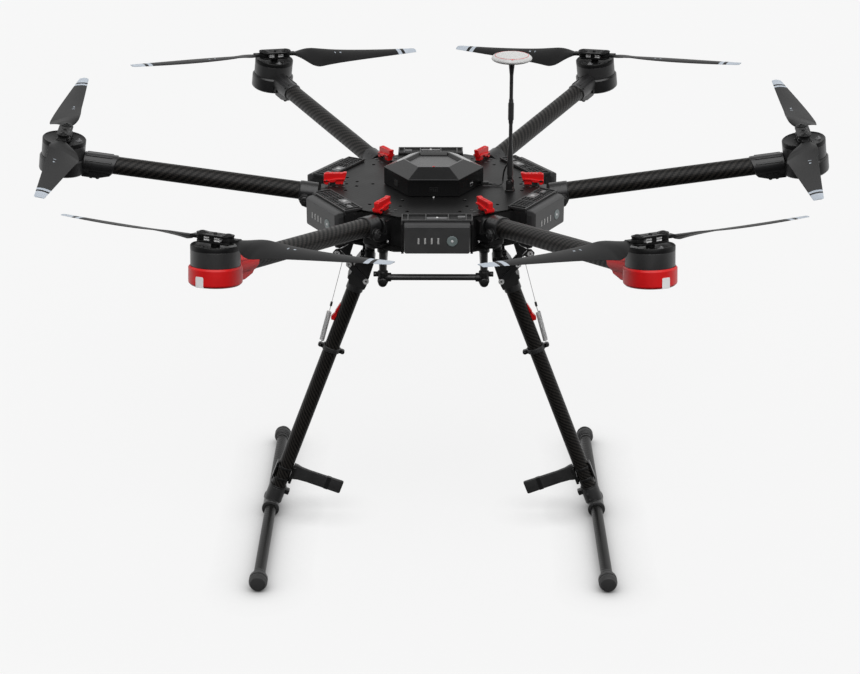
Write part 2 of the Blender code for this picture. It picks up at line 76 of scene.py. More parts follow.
# Arms, motors and propellers
ARM_RISE = 8.0
ARM_RADIUS = 13.75
ARM_ABOVE_FOLD = 7.45
SOCKET_START = 296.9
SOCKET_END = 482.3
FOLD_RADIUS = 198.0
MOTOR_LEAN = 3.0
MOTOR_RADIUS = 566.5
CUP_RADIUS = 35.5
BELL_RADIUS = 32.8
HUB_PIVOT = 21.0
HUB_LOW = 35.0
HUB_HIGH = 47.0
PROP_RADIUS = 266.7
PROP_PITCH = 177.8

# Landing gear, payload rails and mast
LEG_LEAN = 20.6
LEG_RADIUS = 12.0
LEG_LENGTH = 460.2
MID_CLAMP = -168.0
SKID_RADIUS = 9.0
SKID_HALF = 276.0
RAIL_X = 75.0
RAIL_Z = -50.0
RAIL_Y = 150.0
ANTENNA_DROP = 394.0
MAST_AZIMUTH = -15.4
MAST_REACH = 187.0

# Camera, lamp and floor: distances in metres, the lens in millimetres, angles in degrees
CAMERA_TARGET = (-0.0057, 0.0, -0.2026)
CAMERA_DISTANCE = 3.210
CAMERA_LENS = 84.95
CAMERA_TILT = 22.05
CAMERA_SWING = 0.25
LAMP_HEIGHT = 52.0
LAMP_SPREAD = 75.0
LAMP_STRENGTH = 3.3
FLOOR_GLOW = 0.805
FLOOR_SHADE_REACH = 0.075
FLOOR_SHADE_CURVE = 1.5

ARMS = {
    "right": (0, 1, 87.25, 2.45),
    "rear_right": (60, -1, -26.35, -0.45),
    "rear_left": (120, 1, 26.15, -3.35),
    "left": (180, -1, 92.85, 0.45),
    "front_left": (240, 1, 148.6, -2.1),
    "front_right": (300, -1, 32.65, -0.75),
}
BATTERIES = {
    "rear_right": 30,
    "rear": 90,
    "rear_left": 150,
    "front_left": 210,
    "front": 270,
    "front_right": 330,
}
SIDES = {"right": 0, "left": 180}

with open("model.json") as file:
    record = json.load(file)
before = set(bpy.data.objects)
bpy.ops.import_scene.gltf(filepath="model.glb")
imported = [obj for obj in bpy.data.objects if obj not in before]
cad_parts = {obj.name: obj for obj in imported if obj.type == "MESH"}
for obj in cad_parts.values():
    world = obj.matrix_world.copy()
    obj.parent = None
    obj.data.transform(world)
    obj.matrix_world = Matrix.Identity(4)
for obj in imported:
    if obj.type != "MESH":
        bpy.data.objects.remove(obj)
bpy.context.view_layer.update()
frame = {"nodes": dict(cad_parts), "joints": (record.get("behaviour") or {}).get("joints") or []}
pivot = {joint["name"]: Vector(joint["pos_m"]) for joint in frame["joints"] if "pos_m" in joint}


# Placing


def turn(degrees, axis="Z"):
    return Matrix.Rotation(radians(degrees), 4, axis)


def move(x=0.0, y=0.0, z=0.0):
    """Placement by an offset in a piece's own millimetres."""
    return Matrix.Translation((x, y, z))


def facing(side):
    """Turns a form made for the +X or +Y side to the side that +1 or -1 names."""
    return turn(0 if side == 1 else 180)


def span(side, inner, outer):
    """The lower and upper limit of something that lies on one side of the middle."""
    return sorted((side * inner, side * outer))


def at(point):
    """Placement at a point in metres, in the frame's space."""
    return Matrix.Translation(point)


def metres(x=0.0, y=0.0, z=0.0):
    """Placement by an offset given in millimetres, for a whole piece."""
    return Matrix.Translation((x * MM, y * MM, z * MM))


def fold_space(name):
    """The fold bolt of an arm, with X outwards."""
    return at(pivot["arm_fold_" + name]) @ turn(ARMS[name][0])


def tube_space(name):
    """The centreline of an arm's tube, from the fold outwards along X."""
    return fold_space(name) @ metres(z=ARM_ABOVE_FOLD) @ turn(-ARM_RISE, "Y")


def motor_space(name):
    """The motor's axis, along Z, with X outwards along the arm."""
    azimuth, sense, *_ = ARMS[name]
    upright = at(pivot["rotor_spin_" + name]) @ turn(azimuth)
    return upright @ turn(-ARM_RISE, "Y") @ turn(sense * MOTOR_LEAN, "X")


def spin_space(name):
    azimuth, _, hub, _ = ARMS[name]
    return motor_space(name) @ turn(hub - azimuth)


def blade_space(name, letter):
    hang = ARMS[name][3] * PROP_RADIUS / (PROP_RADIUS - HUB_PIVOT)
    swing = hang if letter == "a" else 180 - hang
    place = spin_space(name) @ turn(swing)
    place.translation = pivot["blade_fold_" + name + "_" + letter]
    return place


def bay_space(name):
    """A battery's bay, with X outwards and Y across, at the frame's origin height."""
    return turn(BATTERIES[name]) @ metres(y=BAY_OFFSET)


def leg_space(name):
    return at(pivot["gear_" + name]) @ turn(SIDES[name]) @ turn(-LEG_LEAN, "Y")


def mast_space():
    return at(pivot["mast_fold"]) @ turn(MAST_AZIMUTH)


# Closed forms, in millimetres


def soften(form, width, segments=2):
    """Rounds off the sharp edges of a form."""
    sharp = [edge for edge in form.edges if len(edge.link_faces) == 2 and edge.calc_face_angle(0) > SHARP]
    if width > 0 and sharp:
        bmesh.ops.bevel(
            form,
            geom=sharp,
            offset=width,
            segments=segments,
            profile=0.5,
            affect="EDGES",
            clamp_overlap=True,
        )
    return form


def block(low, high, round_off=0.5):
    form = bmesh.new()
    bmesh.ops.create_cube(form, size=1.0)
    size = [b - a for a, b in zip(low, high)]
    middle = [(a + b) / 2 for a, b in zip(low, high)]
    bmesh.ops.scale(form, vec=size, verts=form.verts)
    bmesh.ops.translate(form, vec=middle, verts=form.verts)
    return soften(form, round_off)


def skinned(rings, closed_ends=True):
    """A form through rings of points that have the same count."""
    form = bmesh.new()
    made = [[form.verts.new(point) for point in ring] for ring in rings]
    for first, second in zip(made, made[1:]):
        count = len(first)
        for i in range(count):
            after = (i + 1) % count
            form.faces.new((first[i], first[after], second[after], second[i]))
    if closed_ends:
        form.faces.new(list(reversed(made[0])))
        form.faces.new(made[-1])
    bmesh.ops.recalc_face_normals(form, faces=form.faces)
    return form


def prism(outline, low, high, axis="Z", round_off=0.4):
    """An outline made solid. About Y the outline is in X and Z, and about X it is in Y and Z."""
    if axis == "Z":
        rings = [[(a, b, level) for a, b in outline] for level in (low, high)]
    elif axis == "Y":
        rings = [[(a, level, b) for a, b in outline] for level in (low, high)]
    else:
        rings = [[(level, a, b) for a, b in outline] for level in (low, high)]
    return soften(skinned(rings), round_off)


def lathe(profile, sides=48, round_off=0.0, axis="Z"):
    """A turned form from (radius, height) points, closed at both ends on the axis."""
    form = bmesh.new()
    rings = []
    for radius, height in profile:
        if radius < 1e-6:
            rings.append([form.verts.new((0, 0, height))])
        else:
            steps = [2 * pi * i / sides for i in range(sides)]
            rings.append([form.verts.new((radius * cos(a), radius * sin(a), height)) for a in steps])
    for first, second in zip(rings, rings[1:]):
        for i in range(sides):
            after = (i + 1) % sides
            corners = [first[i % len(first)], first[after % len(first)]]
            corners += [second[after % len(second)], second[i % len(second)]]
            unique = list(dict.fromkeys(corners))
            if len(unique) > 2:
                form.faces.new(unique)
    bmesh.ops.recalc_face_normals(form, faces=form.faces)
    soften(form, round_off)
    if axis == "X":
        bmesh.ops.transform(form, matrix=turn(90, "Y"), verts=form.verts)
    if axis == "Y":
        bmesh.ops.transform(form, matrix=turn(-90, "X"), verts=form.verts)
    return form


def rod(radius, low, high, round_off=0.4, axis="Z", sides=32):
    """A round bar with softened ends."""
    ends = [
        (0, low), (radius - round_off, low), (radius, low + round_off), (radius, high - round_off),
        (radius - round_off, high), (0, high),
    ]
    return lathe(ends, sides, 0.0, axis)


def ring(inner, outer, low, high, round_off=0.3, axis="Z", sides=40):
    """A collar around an axis, open in the middle."""
    section = [
        (inner, low + round_off), (inner, high - round_off), (inner + round_off, high),
        (outer - round_off, high), (outer, high - round_off), (outer, low + round_off),
        (outer - round_off, low), (inner + round_off, low),
    ]
    form = bmesh.new()
    loops = []
    for i in range(sides):
        angle = 2 * pi * i / sides
        loops.append([form.verts.new((r * cos(angle), r * sin(angle), z)) for r, z in section])
    for i in range(sides):
        first, second = loops[i], loops[(i + 1) % sides]
        for j in range(len(section)):
            after = (j + 1) % len(section)
            form.faces.new((first[j], first[after], second[after], second[j]))
    bmesh.ops.recalc_face_normals(form, faces=form.faces)
    if axis == "X":
        bmesh.ops.transform(form, matrix=turn(90, "Y"), verts=form.verts)
    if axis == "Y":
        bmesh.ops.transform(form, matrix=turn(-90, "X"), verts=form.verts)
    return form


def pipe(points, radius, sides=10):
    """A round wire or tube that follows points."""
    points = [Vector(point) for point in points]
    ahead = (points[1] - points[0]).normalized()
    across = ahead.orthogonal().normalized()
    rings = []
    for i, point in enumerate(points):
        before = points[max(i - 1, 0)]
        after = points[min(i + 1, len(points) - 1)]
        heading = (after - before).normalized()
        across = (across - heading * across.dot(heading)).normalized()
        other = heading.cross(across)
        steps = [2 * pi * k / sides for k in range(sides)]
        rings.append([point + (across * cos(a) + other * sin(a)) * radius for a in steps])
    return skinned(rings)


def smooth_path(points, steps=6):
    """A finer route through points, without corners."""
    points = [Vector(point) for point in points]
    route = []
    for i in range(len(points) - 1):
        before = points[max(i - 1, 0)]
        start, end = points[i], points[i + 1]
        after = points[min(i + 2, len(points) - 1)]
        for k in range(steps):
            t = k / steps
            pull = 2 * start + (end - before) * t
            pull += (2 * before - 5 * start + 4 * end - after) * t * t
            pull += (3 * start - before - 3 * end + after) * t * t * t
            route.append(pull / 2)
    route.append(points[-1])
    return route


def panel(outline, holes, low, high, round_off=0.3, sides=20):
    """A flat plate with round holes, given as (x, y, radius)."""
    curve = bpy.data.curves.new("outline", "CURVE")
    curve.dimensions = "2D"
    curve.fill_mode = "BOTH"
    curve.extrude = (high - low) / 2 - round_off
    curve.bevel_depth = round_off
    curve.bevel_resolution = 1
    curve.offset = -round_off
    rims = [outline]
    for x, y, radius in holes:
        steps = [2 * pi * i / sides for i in range(sides)]
        rims.append([(x + radius * cos(a), y + radius * sin(a)) for a in steps])
    for rim in rims:
        spline = curve.splines.new("POLY")
        spline.points.add(len(rim) - 1)
        for point, (x, y) in zip(spline.points, rim):
            point.co = (x, y, 0, 1)
        spline.use_cyclic_u = True
    holder = bpy.data.objects.new("outline", curve)
    bpy.context.scene.collection.objects.link(holder)
    graph = bpy.context.evaluated_depsgraph_get()
    mesh = bpy.data.meshes.new_from_object(holder.evaluated_get(graph))
    bpy.data.objects.remove(holder)
    form = bmesh.new()
    form.from_mesh(mesh)
    bmesh.ops.remove_doubles(form, verts=form.verts, dist=0.001)
    bmesh.ops.translate(form, vec=(0, 0, (low + high) / 2), verts=form.verts)
    return form


def cap_screw(radius, height, axis="Z"):
    """A round-headed screw with a hexagon socket, standing on zero."""
    head = [
        (0, height * 0.45), (radius * 0.42, height * 0.45), (radius * 0.5, height),
        (radius * 0.8, height), (radius, height * 0.75), (radius, 0), (0, 0),
    ]
    return lathe(head, 24, 0.0, axis)


def on_ring(radius, offset, azimuth):
    """The point at radius along an azimuth and offset across it."""
    angle = radians(azimuth)
    return (
        radius * cos(angle) - offset * sin(angle),
        radius * sin(angle) + offset * cos(angle),
    )


def even_out(mesh, smooth):
    """Normals weighted by face area, so that flat faces look flat right up to their rounded edges."""
    normals = [face.normal.copy() for face in mesh.polygons]
    touching = [[] for _ in mesh.vertices]
    for face in mesh.polygons:
        for vertex in face.vertices:
            touching[vertex].append(face.index)
    limit = cos(smooth)
    corners = []
    for face in mesh.polygons:
        own = normals[face.index]
        for vertex in face.vertices:
            total = Vector((0.0, 0.0, 0.0))
            for other in touching[vertex]:
                if normals[other].dot(own) > limit:
                    total += normals[other] * mesh.polygons[other].area
            corners.append(total.normalized() if total.length > 0 else own)
    mesh.normals_split_custom_set(corners)


class Piece:
    """Closed forms gathered into one mesh, each with its look."""

    def __init__(self):
        self.form = bmesh.new()
        self.looks = []

    def add(self, form, look, place=None):
        if place is not None:
            bmesh.ops.transform(form, matrix=place, verts=form.verts)
        if look not in self.looks:
            self.looks.append(look)
        for face in form.faces:
            face.material_index = self.looks.index(look)
        part = bpy.data.meshes.new("part")
        form.to_mesh(part)
        form.free()
        self.form.from_mesh(part)
        bpy.data.meshes.remove(part)
        return self

    def mesh(self, name, smooth=SMOOTH):
        made = bpy.data.meshes.new(name)
        bmesh.ops.scale(self.form, vec=(MM, MM, MM), verts=self.form.verts)
        self.form.to_mesh(made)
        self.form.free()
        for look in self.looks:
            made.materials.append(look)
        made.shade_smooth()
        even_out(made, smooth)
        return made


def show(name, mesh, place, body, slot, *nodes):
    """Puts a piece in the scene on its body, in the place of the CAD nodes that it stands for."""
    piece = bpy.data.objects.new(name, mesh)
    bpy.context.scene.collection.objects.link(piece)
    piece.matrix_world = place
    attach(piece, body)
    if nodes:
        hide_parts(*nodes)


def show_on_frame(name, piece, slot, *nodes, smooth=SMOOTH):
    """Shows a piece that is modelled where it stands on the frame."""
    show(name, piece.mesh(name, smooth), Matrix(), "frame", slot, *nodes)


# Materials


class Look:
    """A procedural material: one Principled shader and the nodes that feed it. Lengths are in metres."""

    def __init__(self, name, metallic=0.0, specular=0.5, coat=0.0, coat_roughness=0.1):
        self.material = bpy.data.materials.new(name)
        self.material.use_nodes = True
        self.tree = self.material.node_tree
        self.shader = self.tree.nodes["Principled BSDF"]
        self.shader.inputs["Metallic"].default_value = metallic
        self.shader.inputs["Specular IOR Level"].default_value = specular
        self.shader.inputs["Coat Weight"].default_value = coat
        self.shader.inputs["Coat Roughness"].default_value = coat_roughness
        self.spot = self.tree.nodes.new("ShaderNodeTexCoord").outputs["Object"]

    def put(self, socket, value):
        if isinstance(value, bpy.types.NodeSocket):
            self.tree.links.new(value, socket)
        elif isinstance(value, tuple) and len(value) == 3 and len(socket.default_value) == 4:
            socket.default_value = (*value, 1.0)
        else:
            socket.default_value = value

    def math(self, operation, a, b=0.0):
        node = self.tree.nodes.new("ShaderNodeMath")
        node.operation = operation
        self.put(node.inputs[0], a)
        self.put(node.inputs[1], b)
        return node.outputs[0]

    def parts(self):
        """X, Y and Z of the surface point in the piece's own space."""
        node = self.tree.nodes.new("ShaderNodeSeparateXYZ")
        self.put(node.inputs[0], self.spot)
        return node.outputs[0], node.outputs[1], node.outputs[2]

    def noise(self, size, detail=2.0, stretch=(1.0, 1.0, 1.0)):
        """Soft noise whose lumps are about size across."""
        mapping = self.tree.nodes.new("ShaderNodeMapping")
        mapping.inputs["Scale"].default_value = stretch
        self.put(mapping.inputs[0], self.spot)
        node = self.tree.nodes.new("ShaderNodeTexNoise")
        node.inputs["Scale"].default_value = 1.0 / size
        node.inputs["Detail"].default_value = detail
        self.put(node.inputs["Vector"], mapping.outputs[0])
        return node.outputs[0]

    def between(self, value, low, high, start=0.0, end=1.0):
        """Value carried smoothly from low..high to start..end."""
        node = self.tree.nodes.new("ShaderNodeMapRange")
        node.interpolation_type = "SMOOTHSTEP"
        self.put(node.inputs[0], value)
        for socket, limit in zip(node.inputs[1:5], (low, high, start, end)):
            socket.default_value = limit
        return node.outputs[0]

    def mix(self, share, a, b):
        node = self.tree.nodes.new("ShaderNodeMix")
        node.data_type = "RGBA"
        self.put(node.inputs[0], share)
        self.put(node.inputs[6], a)
        self.put(node.inputs[7], b)
        return node.outputs[2]

    def finish(self, colour, roughness, height=None, depth=0.0001, strength=0.5):
        """Feeds the shader, and returns the material."""
        self.put(self.shader.inputs["Base Color"], colour)
        self.put(self.shader.inputs["Roughness"], roughness)
        if height is not None:
            bump = self.tree.nodes.new("ShaderNodeBump")
            bump.inputs["Strength"].default_value = strength
            bump.inputs["Distance"].default_value = depth
            self.put(bump.inputs["Height"], height)
            self.tree.links.new(bump.outputs[0], self.shader.inputs["Normal"])
        return self.material


def shade(colour, factor):
    return tuple(min(1.0, part * factor) for part in colour)


def moulded(name, colour, roughness, grain=0.0008, relief=0.00004, spread=0.16, scuff=0.25, **finish):
    """Moulded plastic: fine grain, slightly uneven colour and gloss, and thin pale scuffs."""
    look = Look(name, **finish)
    cloudy = look.noise(0.03, 3.0)
    fine = look.noise(grain, 2.0)
    streaks = look.between(look.noise(0.006, 4.0, (1.0, 7.0, 1.0)), 0.68, 0.8)
    base = look.mix(look.between(cloudy, 0.3, 0.7), shade(colour, 1 - spread), shade(colour, 1 + spread))
    worn = look.mix(look.math("MULTIPLY", streaks, scuff), base, shade(colour, 1.9))
    gloss = look.math("ADD", look.math("MULTIPLY", cloudy, 0.12), roughness - 0.06)
    gloss = look.math("ADD", gloss, look.math("MULTIPLY", streaks, 0.08))
    return look.finish(worn, gloss, fine, relief)


def brushed(name, colour, roughness, stretch=(1.0, 1.0, 0.02), **finish):
    """Anodised or plated metal with fine drawn lines."""
    look = Look(name, metallic=1.0, **finish)
    lines = look.noise(0.0006, 3.0, stretch)
    cloudy = look.noise(0.02, 2.0)
    base = look.mix(look.between(lines, 0.3, 0.7), shade(colour, 0.82), shade(colour, 1.15))
    gloss = look.math("ADD", look.math("MULTIPLY", cloudy, 0.14), roughness - 0.07)
    return look.finish(base, gloss, lines, 0.00002)


def twill(look, along, around):
    """Two-by-two twill from two counts of tows. Gives which tow lies on top, and its rounded height."""
    step = look.math("ADD", look.math("FLOOR", along), look.math("FLOOR", around))
    over = look.math("LESS_THAN", look.math("FLOORED_MODULO", step, 4.0), 2.0)
    heights = []
    for count in (around, along):
        centred = look.math("SUBTRACT", look.math("FRACT", count), 0.5)
        hump = look.math("SUBTRACT", 1.0, look.math("MULTIPLY", look.math("MULTIPLY", centred, centred), 4.0))
        heights.append(hump)
    first = look.math("MULTIPLY", heights[0], over)
    second = look.math("MULTIPLY", heights[1], look.math("SUBTRACT", 1.0, over))
    return over, look.math("ADD", first, second)


def carbon_tube(name, radius, tows, axis, dark, light):
    """Wrapped carbon cloth under clear resin. Tows is how many lie side by side around the tube. The light
    colour on the tows that lie on top, strongest on their crowns, is painted sheen for the fibres'
    directional reflection.
    """
    look = Look(name, specular=0.2)
    x, y, z = look.parts()
    length, side, up = (x, y, z) if axis == "X" else (z, x, y)
    pitch = 2 * pi * radius * MM / tows
    along = look.math("DIVIDE", length, pitch)
    around = look.math("MULTIPLY", look.math("ARCTAN2", up, side), tows / (2 * pi))
    over, height = twill(look, along, look.math("ADD", around, float(tows)))
    fibres = look.noise(0.0003, 2.0)
    patchy = look.noise(0.02, 2.0)
    # Painted sheen: the tows on top take the light colour, most of all on their crowns.
    share = look.math("MULTIPLY", over, look.between(height, 0.0, 0.8, 0.55, 1.0))
    share = look.math("MULTIPLY", share, look.between(fibres, 0.2, 0.8, 0.8, 1.0))
    share = look.math("MULTIPLY", share, look.between(patchy, 0.2, 0.8, 0.8, 1.0))
    gloss = look.math("SUBTRACT", 0.52, look.math("MULTIPLY", over, 0.12))
    return look.finish(look.mix(share, dark, light), gloss, height, 0.00005, 0.35)


def carbon_plate(name, pitch, dark, light, roughness):
    """Pressed carbon sheet: flat twill with a matt face. The light colour on the tows that lie on top is
    painted sheen.
    """
    look = Look(name, specular=0.12)
    x, y, _ = look.parts()
    along = look.math("DIVIDE", x, pitch)
    across = look.math("DIVIDE", y, pitch)
    over, height = twill(look, along, across)
    cloudy = look.noise(0.05, 3.0)
    # Painted sheen: the tows on top take the light colour.
    share = look.math("MULTIPLY", over, look.between(cloudy, 0.2, 0.8, 0.75, 1.0))
    gloss = look.math("ADD", look.math("MULTIPLY", cloudy, 0.1), roughness - 0.05)
    return look.finish(look.mix(share, dark, light), gloss, height, 0.00002, 0.2)


def blade_look():
    """Moulded propeller plastic with a pale tip, a pale line behind it, and two small printed marks."""
    look = Look("blade", specular=0.11)
    x, y, _ = look.parts()
    tip = look.math("GREATER_THAN", x, (244.0 - HUB_PIVOT) * MM)
    line = look.math("GREATER_THAN", x, (230.5 - HUB_PIVOT) * MM)
    line = look.math("MULTIPLY", line, look.math("LESS_THAN", x, (238.0 - HUB_PIVOT) * MM))
    pale = look.math("ADD", tip, line)
    for centre, half_x, half_y in ((102.0, 1.6, 1.4), (92.0, 0.8, 2.2)):
        from_centre = look.math("ABSOLUTE", look.math("SUBTRACT", x, centre * MM))
        inside_x = look.math("LESS_THAN", from_centre, half_x * MM)
        inside_y = look.math("LESS_THAN", look.math("ABSOLUTE", y), half_y * MM)
        pale = look.math("ADD", pale, look.math("MULTIPLY", inside_x, inside_y))
    cloudy = look.noise(0.04, 2.0)
    fine = look.noise(0.0007, 2.0)
    body = look.mix(look.between(cloudy, 0.3, 0.7), (0.007, 0.007, 0.0072), (0.0095, 0.0095, 0.0097))
    bands = look.mix(look.between(cloudy, 0.3, 0.7), (0.37, 0.41, 0.46), (0.41, 0.45, 0.5))
    gloss = look.math("ADD", look.math("MULTIPLY", cloudy, 0.1), 0.4)
    return look.finish(look.mix(look.math("MINIMUM", pale, 1.0), body, bands), gloss, fine, 0.00003)


BLACK = moulded("black_plastic", (0.0052, 0.0052, 0.0054), 0.42)
SATIN = moulded("satin_plastic", (0.02, 0.02, 0.0203), 0.45)
COLLAR = moulded("collar_satin", (0.0105, 0.0105, 0.011), 0.38)
MODULE = moulded(
    "module_plastic", (0.0028, 0.0028, 0.003), 0.24, specular=0.36, grain=0.0006, relief=0.00002, scuff=0.1
)
RED = moulded(
    "red_plastic", (0.56, 0.006, 0.007), 0.4, grain=0.0006, relief=0.00002, spread=0.06, scuff=0.04,
    specular=0.35,
)
CASE = moulded("battery_case", (0.034, 0.034, 0.0345), 0.46, spread=0.08, specular=0.4)
CASE_DARK = moulded("battery_body", (0.009, 0.009, 0.0092), 0.5)
PALE = moulded("pale_print", (0.1, 0.1, 0.102), 0.45, scuff=0.1)
BARS = moulded("light_bars", (0.34, 0.34, 0.335), 0.35, spread=0.06, scuff=0.05)
BRIGHT = moulded("bright_print", (0.62, 0.62, 0.62), 0.4, scuff=0.1)
BUTTON = moulded("button_rubber", (0.14, 0.17, 0.17), 0.4, scuff=0.1)
WHITE = moulded("white_plastic", (0.5, 0.5, 0.495), 0.35, spread=0.04, scuff=0.05)
LAMP = moulded("lamp_window", (0.74, 0.74, 0.74), 0.25, spread=0.03, scuff=0.02)
RUBBER = moulded("rubber", (0.024, 0.024, 0.0243), 0.62, grain=0.0012, relief=0.00008)
# Near-black sheet laid in gaps, holes, slots and grooves: painted shade where the real part is only in
# shadow.
SHADOW = moulded("painted_recess_shade", (0.002, 0.002, 0.002), 0.7)
BELL = moulded("bell_satin", (0.024, 0.024, 0.0245), 0.4, grain=0.0005, relief=0.00002, scuff=0.1)
BELL_RING = moulded(
    "bell_ring", (0.005, 0.005, 0.0052), 0.45, grain=0.0005, relief=0.00001, scuff=0.1, specular=0.2
)
# Carbon: the second colour is the painted sheen of the tows on top.
TUBE = carbon_tube("carbon_arm", ARM_RADIUS, 32, "X", (0.0014, 0.0014, 0.0013), (0.021, 0.0185, 0.0165))
LEG_TUBE = carbon_tube("carbon_leg", LEG_RADIUS, 44, "Z", (0.002, 0.002, 0.0019), (0.026, 0.0235, 0.021))
SKID_TUBE = carbon_tube("carbon_skid", SKID_RADIUS, 32, "Z", (0.002, 0.002, 0.0019), (0.009, 0.0088, 0.0082))
PLATE = carbon_plate("carbon_plate", 0.0022, (0.0018, 0.0018, 0.0018), (0.0085, 0.0085, 0.0085), 0.42)
LOWER = carbon_plate("carbon_lower", 0.0022, (0.006, 0.006, 0.006), (0.011, 0.011, 0.011), 0.45)
BLADE = blade_look()
ANODISED = moulded("black_anodised", (0.021, 0.021, 0.0213), 0.36, grain=0.0005, relief=0.00001, scuff=0.15)
STEEL = moulded("spring_steel", (0.42, 0.42, 0.42), 0.3, scuff=0.1)
BOLT = brushed("bolt_steel", (0.8, 0.8, 0.8), 0.3)


# Camera, light and floor


def make_studio():
    """Camera, one wide lamp, a pale glowing floor with a painted contact shadow under the part, and a sky
    brighter at the back.
    """
    scene = bpy.context.scene
    scene.view_settings.view_transform = "Standard"
    target = Vector(CAMERA_TARGET)
    tilt = radians(CAMERA_TILT)
    camera_data = bpy.data.cameras.new("camera")
    camera_data.sensor_width = 36.0
    camera_data.lens = CAMERA_LENS
    camera_data.clip_end = 200.0
    camera = bpy.data.objects.new("camera", camera_data)
    scene.collection.objects.link(camera)
    swing = radians(CAMERA_SWING)
    away = Vector((sin(swing) * cos(tilt), -cos(swing) * cos(tilt), sin(tilt)))
    camera.location = target + CAMERA_DISTANCE * away
    camera.rotation_euler = (target - camera.location).to_track_quat("-Z", "Y").to_euler()
    scene.camera = camera

    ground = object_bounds()[0][2]
    floor_form = bmesh.new()
    bmesh.ops.create_circle(floor_form, cap_ends=True, segments=96, radius=60.0)
    floor_mesh = bpy.data.meshes.new("floor")
    floor_form.to_mesh(floor_mesh)
    floor_form.free()
    floor = bpy.data.objects.new("floor", floor_mesh)
    floor.location = (0.0, 0.0, ground)
    scene.collection.objects.link(floor)
    floor.visible_diffuse = False
    floor.visible_glossy = False
    look = Look("floor", specular=0.0)
    look.shader.inputs["Emission Color"].default_value = (1.0, 1.0, 1.0, 1.0)
    # Painted contact shadow: the floor's glow dims where ambient occlusion finds the part near.
    contact_shadow_ao = look.tree.nodes.new("ShaderNodeAmbientOcclusion")
    contact_shadow_ao.samples = 16
    contact_shadow_ao.inputs["Distance"].default_value = FLOOR_SHADE_REACH
    unshadowed_share = look.math("POWER", contact_shadow_ao.outputs["AO"], FLOOR_SHADE_CURVE)
    look.put(look.shader.inputs["Emission Strength"], look.math("MULTIPLY", unshadowed_share, FLOOR_GLOW))
    patch = look.noise(3.0, 1.0)
    tone = look.mix(look.between(patch, 0.2, 0.8), (0.1, 0.1, 0.1), (0.105, 0.105, 0.105))
    floor_mesh.materials.append(look.finish(tone, 0.9))

    world = bpy.data.worlds.new("studio")
    scene.world = world
    world.use_nodes = True
    tree = world.node_tree
    spot = tree.nodes.new("ShaderNodeTexCoord")
    split = tree.nodes.new("ShaderNodeSeparateXYZ")
    tree.links.new(spot.outputs["Generated"], split.inputs[0])

    def carried(value, low, high, start, end):
        node = tree.nodes.new("ShaderNodeMapRange")
        node.interpolation_type = "SMOOTHSTEP"
        tree.links.new(value, node.inputs[0])
        for socket, limit in zip(node.inputs[1:5], (low, high, start, end)):
            socket.default_value = limit
        return node.outputs[0]

    def times(a, b):
        node = tree.nodes.new("ShaderNodeMath")
        node.operation = "MULTIPLY"
        tree.links.new(a, node.inputs[0])
        tree.links.new(b, node.inputs[1])
        return node.outputs[0]

    backward = carried(split.outputs[1], -0.65, 0.6, 0.06, 1.1)
    upward = carried(split.outputs[2], -0.95, -0.25, 0.15, 1.0)
    high = carried(split.outputs[2], 0.4, 0.95, 1.0, 0.4)
    tree.links.new(times(times(backward, upward), high), tree.nodes["Background"].inputs["Strength"])
    tree.nodes["Background"].inputs["Color"].default_value = (1.0, 1.0, 1.0, 1.0)

    key = bpy.data.lights.new("key", "SUN")
    key.energy = LAMP_STRENGTH
    key.angle = radians(LAMP_SPREAD)
    lamp = bpy.data.objects.new("key", key)
    height = radians(LAMP_HEIGHT)
    lamp.rotation_euler = Vector((0.1, -cos(height), sin(height))).to_track_quat("Z", "Y").to_euler()
    scene.collection.objects.link(lamp)


# Frame


def frame_outline(apothem):
    """Outline of a plate of the frame: one straight side across each arm and one across each bay."""
    points = []
    for azimuth, *_ in ARMS.values():
        points.append(on_ring(apothem, -PLATE_ARM_EDGE, azimuth))
        points.append(on_ring(apothem, PLATE_ARM_EDGE, azimuth))
    return points


def softened_copy(node, width, look):
    """The CAD shape of a node with its edges rounded off, as a form in millimetres."""
    form = bmesh.new()
    form.from_mesh(frame["nodes"][node].data)
    bmesh.ops.scale(form, vec=(1000.0, 1000.0, 1000.0), verts=form.verts)
    bmesh.ops.remove_doubles(form, verts=form.verts, dist=0.01)
    bmesh.ops.dissolve_limit(form, angle_limit=radians(1.0), verts=form.verts, edges=form.edges)
    return Piece().add(soften(form, width), look)


